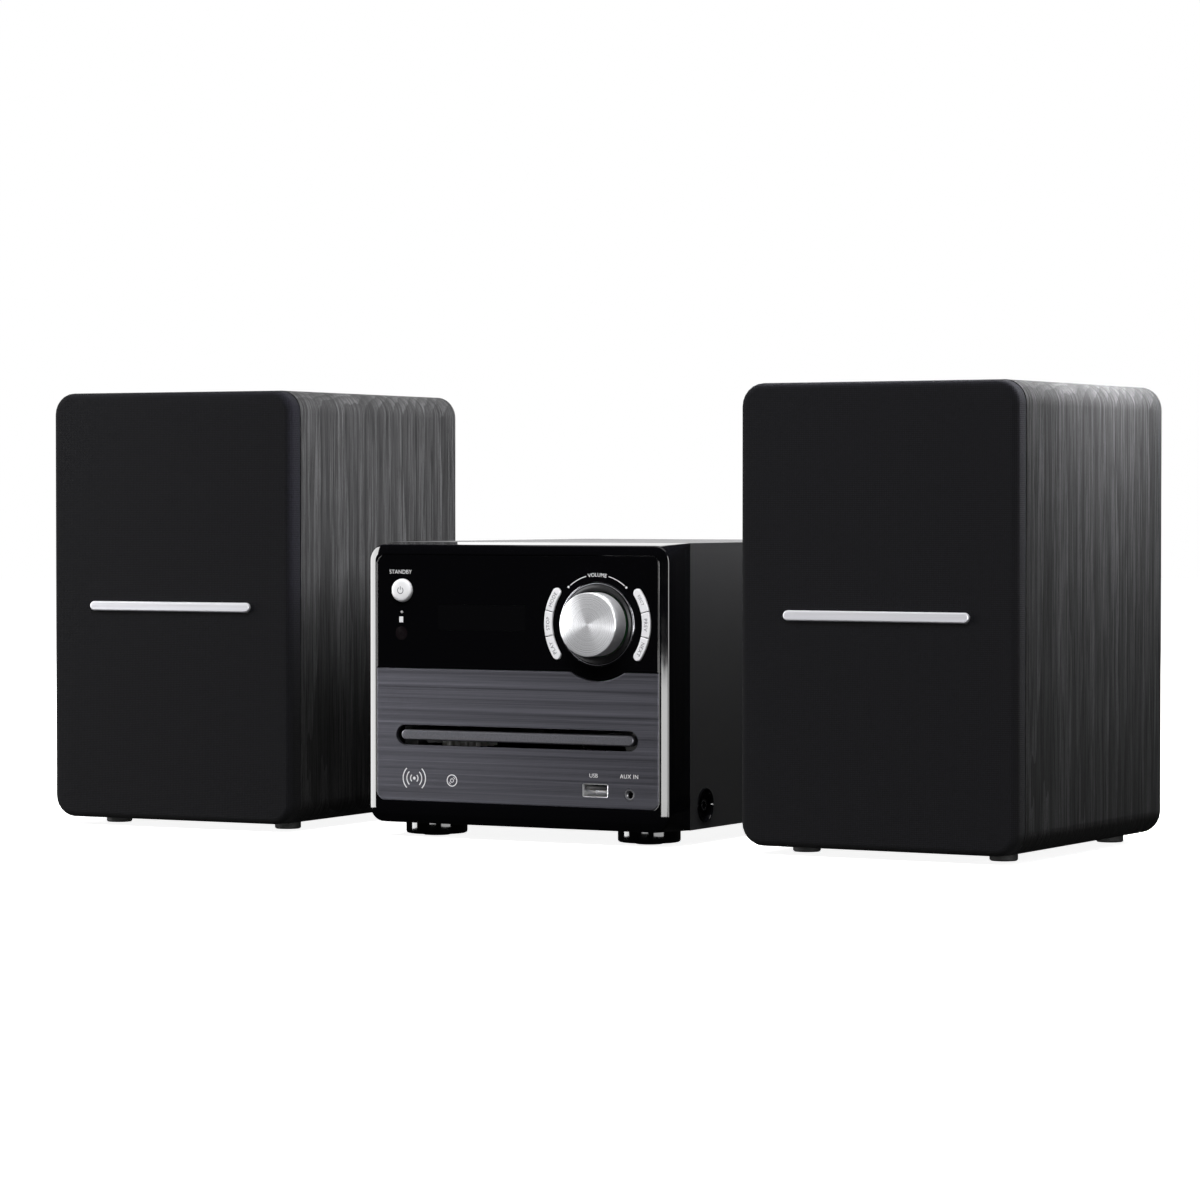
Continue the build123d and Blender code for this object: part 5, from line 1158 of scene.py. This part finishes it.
class HIFI_OT_grilles(bpy.types.Operator):
    """Stretch the cloth over both grille frames, and finish the trim bars"""

    bl_idname = "hifi.grilles"
    bl_label = "Grilles"

    def execute(self, context):
        for side in ("left", "right"):
            dress_all({"grille_frame": (moulding,), "trim_bar": (trim_metal,)}, side + "_")
            self.cloth(side)
        return {"FINISHED"}

    def cloth(self, side):
        look = settings("speakers")
        low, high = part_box(side + "_cabinet")
        roll, wall = look.roll, CLOTH_DEPTH - look.roll
        width, height = SPEAKER_WIDTH - 2 * CLOTH_GAP, high.z - low.z - 2 * CLOTH_GAP
        middle_z, arc = (low.z + high.z) / 2, roll * pi / 2
        rings = [(roll * (1 - a), roll * b, arc * i / ROLL_STEPS)
                 for i, (a, b) in enumerate(quarter(ROLL_STEPS))]
        rings += [(0, roll + wall * t, arc + wall * t) for t in (0.5, 1.0)]
        bm = bmesh.new()
        layer = bm.loops.layers.uv.new("UVMap")
        reach = bm.verts.layers.float.new("reach")
        loops = []
        for shrink, y, along in rings:
            loop = rounded_loop(bm, width - 2 * shrink, height - 2 * shrink, look.corner - shrink, y, 6,
                                z=middle_z)
            for vert in {v for edge in loop for v in edge.verts}:
                vert[reach] = along + shrink - roll
            loops.append(loop)
        skin(bm, loops, cap_first=True)
        if max(bm.faces, key=lambda f: f.calc_area()).normal.y > 0:
            bmesh.ops.reverse_faces(bm, faces=bm.faces)
        core_x, core_z = width / 2 - look.corner, height / 2 - look.corner
        for face in bm.faces:
            for corner in face.loops:
                x, z = corner.vert.co.x, corner.vert.co.z - middle_z
                out = Vector((x - min(max(x, -core_x), core_x), z - min(max(z, -core_z), core_z)))
                out = out.normalized() * corner.vert[reach] if out.length > TINY else Vector((0, 0))
                corner[layer].uv = (x + out.x, z + out.y)
        bmesh.ops.solidify(bm, geom=bm.faces[:], thickness=look.thickness)
        piece = place_piece(bm, side + "_cloth", side + "_grille", finish_of(grille_cloth_finish),
                            [side + "_grille_cloth"], speaker_place(side))


OPERATORS = (HIFI_OT_stage, HIFI_OT_bezel, HIFI_OT_fascias, HIFI_OT_knob, HIFI_OT_buttons, HIFI_OT_legends,
             HIFI_OT_sockets, HIFI_OT_case, HIFI_OT_inside, HIFI_OT_speakers, HIFI_OT_grilles)


class HIFI_PT_panel(bpy.types.Panel):
    """Lists the steps that build the set"""

    bl_idname = "HIFI_PT_panel"
    bl_label = "Mini hifi system"
    bl_space_type = "VIEW_3D"
    bl_region_type = "UI"
    bl_category = "Hifi"

    def draw(self, context):
        for operator in OPERATORS:
            self.layout.operator(operator.bl_idname)


CLASSES = (*SETTINGS.values(), *OPERATORS, HIFI_PT_panel)


def register():
    for cls in CLASSES:
        bpy.utils.register_class(cls)
    for name, group in SETTINGS.items():
        setattr(bpy.types.Scene, name, PointerProperty(type=group))


def unregister():
    for name in SETTINGS:
        delattr(bpy.types.Scene, name)
    for cls in reversed(CLASSES):
        bpy.utils.unregister_class(cls)


def main():
    register()
    for operator in OPERATORS:
        step = operator.bl_idname.split(".")[1]
        if getattr(bpy.ops.hifi, step)() != {"FINISHED"}:
            raise RuntimeError("The step " + step + " did not finish")


if __name__ == "__main__":
    main()
